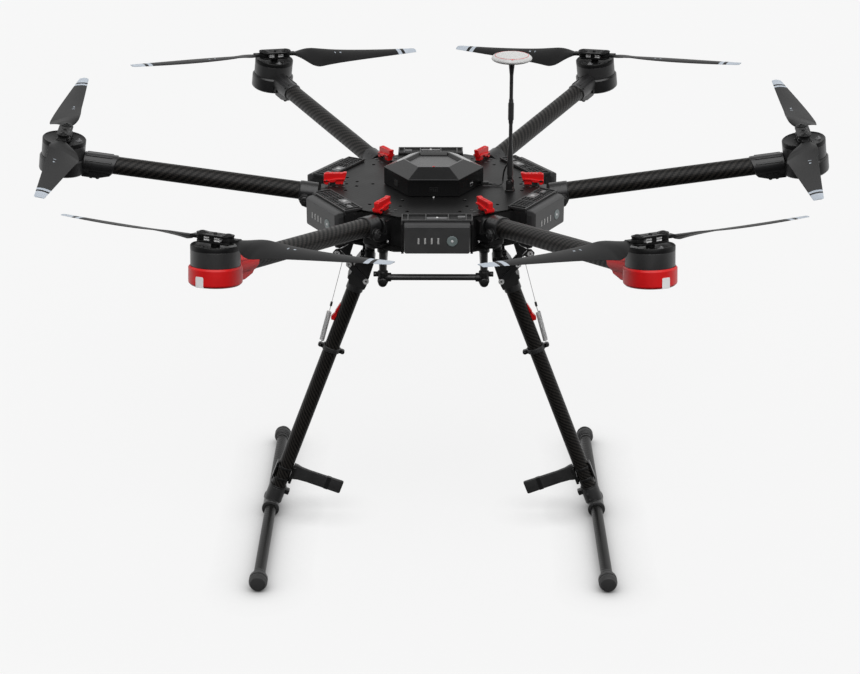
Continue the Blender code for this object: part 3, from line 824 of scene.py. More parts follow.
def make_plates():
    """Top and lower plate with their holes, and the screws of the top one."""
    dark_holes = [(134.0, 32.5), (134.0, -32.5), (134.0, 0.0), (118.0, 11.2), (118.0, -11.2), (93.5, 0.0)]
    holes = []
    for azimuth, *_ in ARMS.values():
        for radius, offset in dark_holes:
            holes.append((*on_ring(radius, offset, azimuth), 2.7))
    deck = Piece().add(panel(frame_outline(PLATE_APOTHEM), holes, PLATE_LOW, PLATE_HIGH), PLATE)
    show_on_frame("top_deck", deck, "carbon_plate", "top_plate")
    screws = Piece()
    for azimuth, *_ in ARMS.values():
        for radius in (138.0, 148.0, 157.5):
            for side in (-1, 1):
                x, y = on_ring(radius, side * 15.0, azimuth)
                screws.add(cap_screw(2.4, 0.7), ANODISED, move(x, y, PLATE_HIGH))
    for side in (-1, 1):
        for x, y in ((47.2, -78.0), (47.2, 78.0)):
            screws.add(cap_screw(2.2, 0.7), ANODISED, move(side * x, y, PLATE_HIGH))
    screws.add(rod(1.3, PLATE_HIGH, PLATE_HIGH + 1.8, 0.3), BRIGHT, move(0, -69.0, 0))
    show_on_frame("deck_screws", screws, "black_plastic")
    lower_holes = []
    for azimuth, *_ in ARMS.values():
        for offset in (-24.0, 24.0):
            lower_holes.append((*on_ring(SADDLE_RADIUS, offset, azimuth), 2.2))
            lower_holes.append((*on_ring(130.0, offset, azimuth), 4.5))
    lower = Piece()
    lower.add(panel(frame_outline(LOWER_APOTHEM), lower_holes, LOWER_PLATE_LOW, LOWER_PLATE_HIGH), LOWER)
    lower.add(rod(24.0, 0.0, LOWER_PLATE_LOW + 0.4, 0.3, sides=64), ANODISED)
    for step in range(4):
        x, y = on_ring(18.0, 0.0, 45 + 90 * step)
        lower.add(cap_screw(1.8, 0.5), BOLT, move(x, y, 0.2) @ turn(180, "X"))
    show_on_frame("lower_deck", lower, "carbon_plate", "lower_plate")


def bay_lid(gridded):
    """The open ribbed top of one battery bay with two blank labels, in the bay's space."""
    lid = Piece()
    half = BATTERY_HALF + 3.6
    low = PLATE_HIGH + 0.6
    # Near-black floor under the ribs: painted shade in the deep cells.
    floor = block((BAY_INNER + 0.5, -half + 0.5, low), (BAY_OUTER - 0.5, half - 0.5, BAY_TOP - 2.9), 0.3)
    lid.add(floor, SHADOW)
    lid.add(block((BAY_OUTER - 2.6, -half, low), (BAY_OUTER, half, BAY_TOP), 0.6), SATIN)
    lid.add(block((BAY_INNER, -half, low), (BAY_INNER + 1.8, half, BAY_TOP), 0.5), SATIN)
    for y in (-half + 0.9, -42.4, -16.5, 16.5, 42.4, half - 0.9):
        lid.add(block((BAY_INNER, y - 0.9, low), (BAY_OUTER - 1.0, y + 0.9, BAY_TOP - 0.1), 0.4), SATIN)
    for side in (-1, 1):
        near, far = span(side, BATTERY_HALF + 0.7, half)
        lid.add(block((BAY_OUTER - 1.6, near, 4.0), (BAY_OUTER + 0.4, far, BAY_TOP - 1.0), 0.5), SATIN)
        for x in (158.0, 166.0, 174.0):
            lid.add(block((x, side * half - 0.7, 6.0), (x + 2.4, side * half + 0.7, 47.0), 0.5), BLACK)
    if gridded:
        for k in range(1, 14):
            y = -42.4 + 84.8 * k / 14
            lid.add(block((BAY_INNER + 1, y - 0.5, low), (BAY_OUTER - 2, y + 0.5, BAY_TOP - 0.5), 0.3), SATIN)
        for k in range(1, 5):
            x = BAY_INNER + (BAY_OUTER - BAY_INNER) * k / 5
            lid.add(block((x - 0.5, -42.4, low), (x + 0.5, 42.4, BAY_TOP - 0.5), 0.3), SATIN)
        lid.add(block((156.5, 1.0, low), (169.0, 22.0, BAY_TOP - 0.1), 0.3), PALE)
        lid.add(block((160.0, 8.0, low), (165.5, 14.0, BAY_TOP + 0.05), 0.2), BARS)
    else:
        lid.add(block((168.5, -15.3, low), (174.5, 15.3, BAY_TOP - 0.7), 0.3), PALE)
        lid.add(cap_screw(1.7, 1.0), BRIGHT, move(171.5, 0, BAY_TOP - 0.7))
    lid.add(block((164.0, 30.0, low), (170.0, 41.0, BAY_TOP - 0.1), 0.3), PALE)
    return lid.mesh("bay_lid")


EAR = [
    (164.0, 14.0), (190.0, 17.0), (202.0, 22.0), (206.0, 29.0), (204.5, 36.0), (199.0, 39.5),
    (193.0, 38.0), (188.0, 31.0), (178.0, 26.0), (164.0, 25.0),
]


def make_bays():
    """Shell of the six battery bays, their ribbed lids, and the ears, bolts and saddles of the arm folds."""
    shell = softened_copy("bay_frame", 0.45, BLACK)
    for vertex in shell.form.verts:
        if vertex.co.z > BAY_TOP - 0.9:
            vertex.co.z -= 3.2
        for azimuth, *_ in ARMS.values():
            along, across = on_ring(vertex.co.x, vertex.co.y, -azimuth)
            if along > EAR_START and abs(across) < 22.0:
                vertex.co.xy = on_ring(EAR_START, across, azimuth)
    show_on_frame("bay_shell", shell, "black_plastic", "bay_frame")
    lids = {True: bay_lid(True), False: bay_lid(False)}
    for name in BATTERIES:
        gridded = name not in ("front", "rear")
        show("bay_lid_" + name, lids[gridded], bay_space(name), "frame", "black_plastic")
    bolts = Piece()
    for name, (azimuth, *_) in ARMS.items():
        place = move(*on_ring(FOLD_RADIUS, 0.0, azimuth), 32.0) @ turn(azimuth)
        for side in (-1, 1):
            turned = place @ facing(side)
            bolts.add(cap_screw(5.2, 3.0, "Y"), ANODISED, turned @ move(0, 21.0, 0))
            bolts.add(ring(5.4, 7.4, 0.0, 1.2, axis="Y"), SATIN, turned @ move(0, 20.9, 0))
        saddle = move(*on_ring(SADDLE_RADIUS, 0.0, azimuth), 0.0) @ turn(azimuth)
        dome = [(0, 3.0), (16.6, 3.0), (17.6, 4.0), (17.6, 7.4), (16.4, 8.8), (0, 10.0)]
        bolts.add(lathe(dome, 48), BLACK, saddle)
        bolts.add(block((-14.0, -14.5, 6.0), (17.0, 14.5, 19.0), 4.0), BLACK, saddle)
        cuff = []
        for k in range(32):
            angle = 2 * pi * k / 32
            cuff.append((19.0 * cos(angle), min(47.6, 33.0 + 19.0 * sin(angle))))
        bolts.add(prism(cuff, -12.0, 5.4, "X", 1.2), BLACK, saddle)
        for side in (-1, 1):
            near, far = span(side, 17.0, 21.0)
            bolts.add(prism(EAR, near, far, "Y", 0.9), BLACK, turn(azimuth))
        for side in (-1, 1):
            flip = facing(side)
            bolts.add(cap_screw(1.9, 1.2, "Y"), BRIGHT, saddle @ move(2.0, 0, 12.5) @ flip @ move(0, 20.6, 0))
    show_on_frame("fold_bolts", bolts, "black_plastic")


def make_module():
    """Controller cover with facets, a dished top, ports and a small red mark."""
    low = PLATE_HIGH + 0.3
    profile = [
        (0, 86.6), (40.6, 86.6), (42.6, 90.2), (43.2, 90.4), (46.0, 90.4), (75.7, 78.6),
        (MODULE_RADIUS, 78.0), (MODULE_RADIUS, low + 1.2), (75.0, low + 1.0), (75.0, low), (0, low),
    ]
    cover = Piece().add(lathe(profile, 6, 0.35), MODULE)
    wall = MODULE_RADIUS * cos(radians(30))
    # Three ports are near-black blocks: painted shade in their openings.
    ports = ((330, 9.0, 5.5, BOLT), (210, 11.0, 8.0, SHADOW), (150, 9.0, 5.0, SHADOW), (30, 9.0, 5.0, SHADOW))
    for azimuth, width, height, look in ports:
        place = turn(azimuth)
        half = width / 2
        rim = block((wall - 1.0, -half - 1.2, 57.0), (wall + 0.35, half + 1.2, 58.4 + height + 1.2), 0.3)
        cover.add(rim, MODULE, place)
        cover.add(block((wall - 1.0, -half, 58.2), (wall + 0.5, half, 58.2 + height), 0.3), look, place)
        # The metal port's mouth is a near-black block: painted shade.
        if look == BOLT:
            mouth = block((wall, -half + 1.0, 59.4), (wall + 0.6, half - 1.0, 57.0 + height), 0.2)
            cover.add(mouth, SHADOW, place)
    # Vent holes filled with near-black: painted shade.
    for row in range(3):
        for column in range(-2, 3):
            hole = rod(0.8, -0.6, 0.3, 0.1, "Y", 12)
            cover.add(hole, SHADOW, move(column * 2.6, -wall, 66.0 - row * 2.6))
    cover.add(block((-1.8, -38.4, 89.9), (1.8, -36.6, 90.8), 0.2), RED)
    for azimuth in range(0, 360, 60):
        x, y = on_ring(70.5, 0.0, azimuth)
        cover.add(cap_screw(1.6, 0.6), ANODISED, move(x, y, 79.6) @ turn(0))
    show_on_frame("module_cover", cover, "black_plastic", "controller_cover", smooth=FACETED)


# Batteries and levers


def battery_meshes():
    """The battery's case, and the lights and button on its end, in the bay's space."""
    case = Piece()
    case.add(block((90.0, -BATTERY_HALF, 8.2), (180.0, BATTERY_HALF, 47.2), 1.2), CASE_DARK)
    sections = [
        (180.0, 48.0, 8.6, 50.4), (181.0, BATTERY_HALF, 7.6, 51.4), (192.0, BATTERY_HALF, 7.6, 51.4),
        (196.6, 47.4, 7.6, 49.2), (198.0, 46.4, 8.6, 48.4),
    ]
    rings = []
    for x, half, low, high in sections:
        corner = 2.4
        top = 1.6
        rings.append(
            [
                (x, half, low + corner), (x, half, high - top), (x, half - top * 0.4, high - top * 0.3),
                (x, half - top, high), (x, -half + top, high), (x, -half + top * 0.4, high - top * 0.3),
                (x, -half, high - top), (x, -half, low + corner),
                (x, -half + corner * 0.3, low + corner * 0.3), (x, -half + corner, low),
                (x, half - corner, low), (x, half - corner * 0.3, low + corner * 0.3),
            ]
        )
    case.add(soften(skinned(rings), 0.4), CASE)
    for side in (-1, 1):
        for k in range(5):
            x = 183.0 + k * 1.9
            low, high = span(side, 47.6, 48.6)
            case.add(block((x, low, 14.0), (x + 1.0, high, 44.0), 0.3), CASE_DARK)
    # Near-black strip in the seam between body and end cap: painted shade.
    case.add(block((178.6, -47.0, 47.0), (181.0, 47.0, 49.6), 0.3), SHADOW)
    lights = Piece()
    for y in (-26.9, -17.4, -7.8, 1.8):
        lights.add(block((197.4, y - 1.35, 22.5), (198.35, y + 1.35, 31.9), 0.5), BARS)
    dish = [(0, 0.1), (2.0, 0.2), (2.2, 0.5), (6.6, 0.7), (7.6, 0.5), (7.9, 0.1), (7.9, -1.0), (0, -1.0)]
    lights.add(lathe(dish, 40, 0.0, "X"), BUTTON, move(198.0, 22.0, 27.2))
    lights.add(rod(1.9, -0.6, 0.8, 0.3, "X"), BRIGHT, move(198.0, 22.0, 27.2))
    # Near-black ring in the gap around the button: painted shade.
    lights.add(ring(7.9, 8.5, -0.8, 0.15, 0.1, "X"), SHADOW, move(198.0, 22.0, 27.2))
    return case.mesh("battery_case"), lights.mesh("battery_lights")


def make_batteries():
    case, lights = battery_meshes()
    for name in BATTERIES:
        body = "battery_" + name
        show("battery_case_" + name, case, bay_space(name), body, "battery_case", body)
        show("battery_lights_" + name, lights, bay_space(name), body, "battery_case")


def lever_mesh():
    """Lock lever about its pivot: ribbed grip with a pit, side ledge, wide foot, arch beneath."""
    lever = Piece()
    grip = [
        (4.3, -1.0), (4.3, 9.4), (3.0, 10.6), (-1.5, 11.2), (-24.0, 11.2), (-27.5, 12.4), (-31.0, 12.0),
        (-27.4, -1.0),
    ]
    lever.add(prism(grip, -3.9, 3.9, "Y", 0.8), RED)
    ledge = [
        (4.4, -3.0), (4.4, 1.2), (-4.0, 1.6), (-14.0, 3.6), (-28.4, 4.2), (-27.4, 1.2), (-15.5, 1.0),
        (-11.5, -2.4), (-4.5, -2.6),
    ]
    lever.add(prism(ledge, -6.6, 6.6, "Y", 0.7), RED)
    foot = [(1.5, -6.3), (4.5, -3.6), (4.5, 0.6), (-4.5, 0.6), (-3.4, -2.5), (-1.5, -6.3)]
    lever.add(prism(foot, -6.6, 6.6, "Y", 0.7), RED)
    leg = [(-14.0, -6.3), (-12.3, -1.0), (-13.0, 2.4), (-27.0, 2.6), (-25.0, -6.3)]
    lever.add(prism(leg, -3.9, 3.9, "Y", 0.6), RED)
    lever.add(ring(1.7, 3.3, 10.0, 11.6, 0.4, sides=24), RED, move(-1.6, 0, 0))
    # Near-black disc in the pit: painted shade.
    lever.add(rod(1.75, 10.2, 10.9, 0.1, sides=20), SHADOW, move(-1.6, 0, 0))
    for x in (-9.0, -14.0, -19.0):
        lever.add(block((x - 1.1, -2.6, 10.8), (x + 1.1, 2.6, 11.9), 0.5), RED)
    lever.add(rod(1.5, -6.9, 6.9, 0.3, "Y", 20), ANODISED)
    return lever.mesh("lever")


def make_levers():
    """Six lock levers on their pivots, and the seats that hold them."""
    lever = lever_mesh()
    for name, (azimuth, *_) in ARMS.items():
        node = "lock_lever_" + name
        place = at(pivot["lever_" + name]) @ turn(azimuth)
        show("lever_grip_" + name, lever, place, node, "red_plastic", node)
    seats = Piece()
    for azimuth, *_ in ARMS.values():
        stand = move(*on_ring(LEVER_RADIUS, 0.0, azimuth), 0.0) @ turn(azimuth)
        seats.add(block((-13.0, -2.6, PLATE_HIGH - 0.4), (-4.6, 2.6, PLATE_HIGH + 3.0), 0.5), BLACK, stand)
        seats.add(block((-27.0, -6.4, PLATE_HIGH - 0.4), (-6.0, 6.4, PLATE_HIGH + 0.3), 0.2), BLACK, stand)
    show_on_frame("lever_seats", seats, "black_plastic")


# Arms, motors and propellers


def arm_meshes():
    tube = Piece().add(rod(ARM_RADIUS, -14.0, SOCKET_START + 6.0, 0.5, "X", 64), TUBE)
    root = Piece()
    sleeve = [
        (0, -20.2), (14.6, -20.2), (15.6, -19.2), (15.6, 5.6), (15.3, 6.2), (15.3, 6.9), (15.6, 7.2),
        (15.2, 8.0), (14.0, 8.2), (13.8, 8.6), (0, 8.6),
    ]
    root.add(lathe(sleeve, 56, 0.0, "X"), COLLAR)
    for x in (-12.0, -2.0):
        for angle in (-40, 40, 140, 220):
            root.add(cap_screw(2.0, 0.7), ANODISED, turn(angle, "X") @ move(x, 0, 15.2))
    lug = Piece()
    drop = -ARM_ABOVE_FOLD
    lug.add(rod(8.0, -16.7, 16.7, 0.6, "Y", 40), BLACK, move(0, 0, drop))
    lug.add(block((-7.9, -9.0, drop), (7.9, 9.0, drop + 5.0), 0.6), BLACK)
    for y in (-12.8, 12.8):
        lug.add(ring(8.0, 9.2, y - 1.4, y + 1.4, 0.3, "Y"), BLACK, move(0, 0, drop))
    lug.add(block((-18.0, -6.0, drop - 6.0), (-6.0, 6.0, -12.0), 0.8), BLACK)
    return tube.mesh("arm_tube"), root.mesh("arm_root"), lug.mesh("arm_lug")


def socket_form(radius, reach, near, slant):
    """Faceted tube socket along X with its outer end cut on a slant."""
    rings = []
    sides = 12
    for x, share in ((-reach, 0.9), (-reach + 1.6, 1.0), (-near, 1.0)):
        points = []
        for k in range(sides):
            angle = 2 * pi * (k + 0.5) / sides
            y = radius * share * sin(angle)
            z = radius * share * cos(angle)
            lean = slant * (1 - z / radius) / 2 if x < -near else 0.0
            points.append((x + lean, y, z))
        rings.append(points)
    return skinned(rings)


def mount_mesh(look, window):
    """Motor cup, tube socket and clamp, about the motor's axis."""
    mount = Piece()
    cup = [
        (0, -1.5), (31.6, -1.5), (31.8, -1.0), (32.4, 5.4), (33.4, 5.8), (35.3, 3.6), (CUP_RADIUS, 3.0),
        (CUP_RADIUS, -15.6), (35.0, -17.2), (32.5, -19.5), (0, -19.5),
    ]
    mount.add(lathe(cup, 96, 0.0), look)
    mount.add(ring(14.0, 31.0, -1.8, 0.4, 0.5), BLACK)
    for k in range(12):
        mount.add(block((15.0, -2.4, -1.5), (29.5, 2.4, 4.6), 0.8), look, turn(30 * k))
    reach = (MOTOR_RADIUS - SOCKET_END) / cos(radians(ARM_RISE))
    mount.add(soften(socket_form(15.6, reach, 33.0, 9.0), 0.5), look)
    mount.add(block((-42.0, -13.6, -14.5), (-24.0, 13.6, 4.0), 2.0), look)
    for angle in (-62, -28, 28, 62):
        rib = block((-reach + 9, -1.5, 14.4), (-36.0, 1.5, 16.6), 0.7)
        mount.add(rib, look, turn(angle, "X"))
    clamp = [
        (-reach + 5.0, -9.0), (-30.0, -9.0), (-30.0, -22.5), (-reach + 30.0, -22.5), (-reach + 12.0, -17.0)
    ]
    mount.add(prism(clamp, -9.0, 9.0, "Y", 2.0), look)
    for x in (-reach + 31.0, -reach + 41.0):
        mount.add(cap_screw(3.0, 4.0), BLACK, move(x, 0, -21.6) @ turn(180, "X"))
    if window:
        light = []
        for height, half in ((-19.0, 9.6), (-7.0, 9.6), (-5.4, 9.2), (-4.6, 7.4)):
            row = []
            for k in range(9):
                angle = radians(half * (k / 4 - 1))
                row.append((36.0 * cos(angle), 36.0 * sin(angle), height))
            for k in range(9):
                angle = radians(half * (1 - k / 4))
                row.append((34.0 * cos(angle), 34.0 * sin(angle), height))
            light.append(row)
        mount.add(skinned(light), LAMP)
    return mount.mesh("motor_mount")


def bell_mesh():
    """Motor bell: satin ring below, gloss ring above, and a dished top."""
    bell = Piece()
    low_ring = [
        (0, 6.0), (27.0, 6.0), (28.0, 5.0), (31.6, 5.0), (BELL_RADIUS, 6.4), (BELL_RADIUS, 26.2),
        (32.3, 26.8),
        (0, 26.8),
    ]
    bell.add(lathe(list(reversed(low_ring)), 96), BELL)
    top_ring = [
        (0, 30.0), (12.0, 30.0), (14.0, 30.4), (29.4, 32.2), (30.2, 33.2), (31.8, 33.4), (32.9, 32.2),
        (32.9, 27.2), (32.4, 26.6), (0, 26.6),
    ]
    bell.add(lathe(top_ring, 96), BELL_RING)
    for k in range(4):
        x, y = on_ring(16.0, 0.0, 90 * k + 45)
        bell.add(cap_screw(1.8, 1.0), ANODISED, move(x, y, 30.2))
    stud = [(0, 34.6), (1.2, 34.4), (2.6, 32.0), (5.4, 30.6), (5.6, 29.8), (0, 29.8)]
    bell.add(lathe(stud, 24), PALE, move(0, -22.5, 0.6))
    return bell.mesh("bell")


def hub_mesh():
    """Hub clamp: two cheeks with windows between them, and a domed bolt over each blade."""
    hub = Piece()
    outline = []
    for end, side in ((0, 1), (180, -1)):
        for step in range(-90, 91, 15):
            x, y = on_ring(10.5, 0, end + step)
            outline.append((x + side * 17.5, y))
    hub.add(prism(outline, HUB_LOW, HUB_LOW + 2.8, "Z", 0.5), BELL_RING)
    hub.add(prism(outline, HUB_HIGH - 3.0, HUB_HIGH - 0.4, "Z", 0.5), BELL_RING)
    hub.add(block((-12.4, -8.0, HUB_LOW + 1.0), (12.4, 8.0, HUB_HIGH - 1.0), 0.5), BELL_RING)
    hub.add(block((-3.4, -9.4, HUB_LOW), (3.4, 9.4, HUB_HIGH - 0.6), 0.6), BELL_RING)
    for side in (-1, 1):
        near, far = span(side, 3.8, 12.7)
        hub.add(block((near, -8.6, 38.2), (far, 8.6, 44.0), 0.2), BRIGHT)
        hub.add(block((near, -9.2, 40.7), (far, 9.2, 41.5), 0.3), BELL_RING)
        # Near-black slots on the top: painted shade in them.
        hub.add(block((side * 6.6 - 3.0, -5.6, 46.2), (side * 6.6 + 3.0, 5.6, 46.9), 0.4), SHADOW)
        hub.add(block((side * 6.6 - 3.0, -7.4, 46.2), (side * 6.6 + 3.0, -6.4, 46.95), 0.3), PALE)
        hub.add(ring(5.6, 8.2, 46.0, 47.6, 0.5), BELL_RING, move(side * HUB_PIVOT, 0, 0))
        dome = [(0, 48.0), (1.8, 48.0), (2.0, 49.2), (3.6, 49.0), (5.2, 47.8), (5.4, 46.0), (0, 46.0)]
        hub.add(lathe(dome, 32), BELL_RING, move(side * HUB_PIVOT, 0, 0))
        hub.add(rod(2.5, 36.0, 46.0, 0.2, "Z", 24), BELL_RING, move(side * HUB_PIVOT, 0, 0))
    hub.add(rod(6.0, 30.0, 36.0, 0.4), BELL_RING)
    hub.add(lathe([(0, 49.0), (1.6, 48.8), (2.6, 47.6), (2.8, 46.0), (0, 46.0)], 24), BELL_RING)
    return hub.mesh("hub")


BLADE_SAG = 3.2
BLADE_OUTLINE = [
    (25.0, 5.0, -5.0), (34.0, 6.0, -6.0), (42.0, 9.6, -12.0), (50.0, 12.6, -20.0), (58.0, 14.6, -27.5),
    (67.0, 15.6, -32.0), (78.0, 15.6, -33.2), (92.0, 14.8, -31.2), (120.0, 12.8, -27.0),
    (170.0, 11.2, -20.0), (220.0, 9.6, -13.0), (250.0, 8.7, -8.8), (261.0, 8.4, -7.2),
    (265.4, 7.4, -6.2), (266.7, 5.4, -4.4),
]


def blade_section(radius, leading, trailing, points=11):
    """Thin cambered section, pitched, in the blade's space with its pivot at the origin."""
    ramp = min(1.0, max(0.0, (radius - 28.0) / 46.0))
    slope = PROP_PITCH / (2 * pi * max(radius, 62.0)) * ramp
    pitch_cos = 1 / sqrt(1 + slope * slope)
    pitch_sin = slope * pitch_cos
    chord = leading - trailing
    thick = 2.2 if radius < 40.0 else 1.9 - 1.2 * radius / PROP_RADIUS
    rise = -BLADE_SAG * sin(0.9 * pi * radius / PROP_RADIUS)
    upper, lower = [], []
    for k in range(points):
        share = (1 - cos(pi * k / (points - 1))) / 2
        across = leading - chord * share
        body = sqrt(max(share, 0.0)) * (1 - share) * 2.4 + 0.12 * (1 - share)
        camber = (0.45 * thick + 0.03 * chord) * (1 - (2 * share - 1) ** 2)
        upper.append((across, camber + thick * 0.62 * body + 0.12))
        lower.append((across, camber - thick * 0.62 * body - 0.12))
    ring_points = []
    for across, up in upper + list(reversed(lower)):
        y = across * pitch_cos - up * pitch_sin
        z = across * pitch_sin + up * pitch_cos + rise
        ring_points.append((radius - HUB_PIVOT, y, z))
    return ring_points


def blade_mesh(sense):
    """Folding blade with its root eye. The sense is +1 for a counter-clockwise propeller."""
    fine = smooth_path(BLADE_OUTLINE, 4)
    rings = []
    for radius, leading, trailing in fine:
        ring_points = blade_section(radius, leading, trailing)
        rings.append([(x, sense * y, z) for x, y, z in ring_points])
    blade = Piece().add(skinned(rings), BLADE)
    blade.add(ring(3.0, 8.0, -2.6, 2.6, 0.5), BLADE)
    neck = [(3.4, -5.2), (12.0, -5.4), (17.0, -6.2), (17.0, 6.2), (12.0, 5.4), (3.4, 5.2)]
    blade.add(prism(neck, -2.4, 2.4, "Z", 1.0), BLADE)
    return blade.mesh("blade")


def make_arms():
    """Everything that an arm carries: tube, collar, lug, motor mount, motor and blades."""
    tube, root, lug = arm_meshes()
    mounts = {True: mount_mesh(RED, True), False: mount_mesh(COLLAR, False)}
    bell = bell_mesh()
    hub = hub_mesh()
    blades = {1: blade_mesh(1), -1: blade_mesh(-1)}
    for name, (_, sense, *_) in ARMS.items():
        arm_body = "arm_" + name
        rotor_body = "rotor_" + name
        front = name.startswith("front")
        show("arm_tube_" + name, tube, tube_space(name), arm_body, "carbon_tube", arm_body)
        show("arm_collar_" + name, root, tube_space(name), arm_body, "black_plastic")
        show("arm_lug_" + name, lug, fold_space(name) @ metres(z=ARM_ABOVE_FOLD), arm_body, "black_plastic")
        mount = mounts[front]
        slot = "red_plastic" if front else "black_plastic"
        show("motor_cup_" + name, mount, motor_space(name), arm_body, slot, "motor_mount_" + name)
        show("motor_bell_" + name, bell, spin_space(name), rotor_body, "motor_metal", rotor_body)
        show("hub_clamp_" + name, hub, spin_space(name), rotor_body, "black_plastic")
        for letter in "ab":
            node = "blade_" + name + "_" + letter
            place = blade_space(name, letter)
            show("prop_" + name + "_" + letter, blades[sense], place, node, "blade_plastic", node)


# Sensor mast


def make_mast():
    foot = Piece()
    low = PLATE_HIGH + 0.3
    up = pivot["mast_fold"].z / MM
    foot.add(block((-6.6, -7.6, low - up), (6.6, 7.6, low + 2.2 - up), 0.8), BLACK)
    foot.add(block((-5.4, -6.2, low + 1.0 - up), (5.4, 6.2, low + 5.0 - up), 1.2), BLACK)
    for side in (-1, 1):
        base = low + 3.0 - up
        cheek = [(-4.8, base), (4.8, base), (4.8, 1.8), (2.8, 4.6), (-2.8, 4.6), (-4.8, 1.8)]
        near, far = span(side, 3.4, 6.2)
        foot.add(prism(cheek, near, far, "Y", 0.5), BLACK)
        foot.add(cap_screw(2.6, 1.2, "Y"), ANODISED, facing(side) @ move(0, 6.1, 0))
    show("mast_foot", foot.mesh("mast_foot"), mast_space(), "frame", "black_plastic", "mast_base")
    mast = Piece()
    profile = [
        (0, MAST_REACH), (5.4, MAST_REACH), (5.4, MAST_REACH - 3.0), (4.4, MAST_REACH - 6.0),
        (3.2, MAST_REACH - 18.0), (2.8, MAST_REACH - 22.0), (2.8, 130.0), (3.5, 127.5), (3.5, 124.0),
        (4.4, 122.5), (4.4, 97.5), (3.5, 96.0), (3.5, 92.5), (2.8, 90.0), (2.8, 58.0), (3.6, 52.0),
        (4.1, 36.0), (4.6, 30.0), (4.6, 12.0), (3.2, 7.0), (0, 7.0),
    ]
    mast.add(lathe(profile, 32), ANODISED)
    mast.add(rod(4.4, -3.0, 3.0, 0.4, "Y"), BLACK)
    mast.add(block((-3.6, -2.8, 0.0), (3.6, 2.8, 9.0), 0.6), BLACK)
    show("mast_rod", mast.mesh("mast_rod"), mast_space(), "mast", "rail_metal", "sensor_mast")
    puck = Piece()
    shell = [
        (0, 9.9), (16.0, 9.7), (23.0, 9.1), (27.2, 7.8), (29.4, 6.1), (30.2, 4.4), (29.8, 3.4),
        (0, 3.4),
    ]
    puck.add(lathe(shell, 72), WHITE)
    puck.add(lathe([(0, 3.5), (30.1, 3.5), (29.4, 2.2), (27.4, 1.0), (24.6, 0.1), (0, 0.1)], 72), WHITE)
    puck.add(ring(24.5, 25.3, 8.0, 8.72, 0.1, sides=72), RED)
    front = turn(-90 - MAST_AZIMUTH) @ move(26.4, 0, 8.0)
    puck.add(lathe([(0, 0.6), (1.2, 0.5), (1.6, 0.0), (0, 0.0)], 20), RED, front)
    place = mast_space() @ metres(z=MAST_REACH + 0.3)
    show("puck_shell", puck.mesh("puck_shell"), place, "mast", "white_plastic", "sensor_puck")


CABLE_ROUTE = [
    (76.9, -7.0, 54.9), (83.0, -7.5, 53.7), (90.0, -8.5, 52.9), (97.0, -10.0, 52.7),
    (102.0, -9.5, 52.9), (105.0, -6.0, 54.8), (106.0, -4.0, 60.5), (107.0, -6.0, 71.0),
    (109.5, -12.0, 81.5), (113.0, -19.0, 90.5), (116.0, -24.2, 101.0), (116.0, -24.8, 130.0),
    (116.0, -24.8, 160.0), (116.0, -24.8, 192.0), (116.0, -25.4, 220.0), (116.0, -25.8, 240.0),
    (116.0, -25.8, 251.6),
]


def make_cable():
    """Sensor cable from the module to the mast, with its plug at the module."""
    route = smooth_path(CABLE_ROUTE, 8)
    cable = Piece().add(pipe(route, 1.2, 14), BLACK)
    piece = bpy.data.objects.new("cable_run", cable.mesh("cable_run"))
    bpy.context.scene.collection.objects.link(piece)
    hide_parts("sensor_cable")
    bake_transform(piece)
    plug = Piece()
    plug.add(block((74.5, -10.2, 52.2), (84.0, -3.8, 57.6), 1.0), BLACK)
    plug.add(block((83.0, -9.4, 52.0), (89.5, -5.6, 55.6), 1.2), BLACK)
    show_on_frame("cable_plug", plug, "cable_rubber")


# Landing gear


def bolt_ring(place, piece):
    """A bright washer with a socket, seen on the side of a link. The socket is a near-black disc: painted
    shade.
    """
    piece.add(ring(1.4, 4.6, 0.0, 1.0, 0.2, "Y", 28), LAMP, place)
    piece.add(rod(1.6, -0.2, 0.7, 0.2, "Y", 20), SHADOW, place)


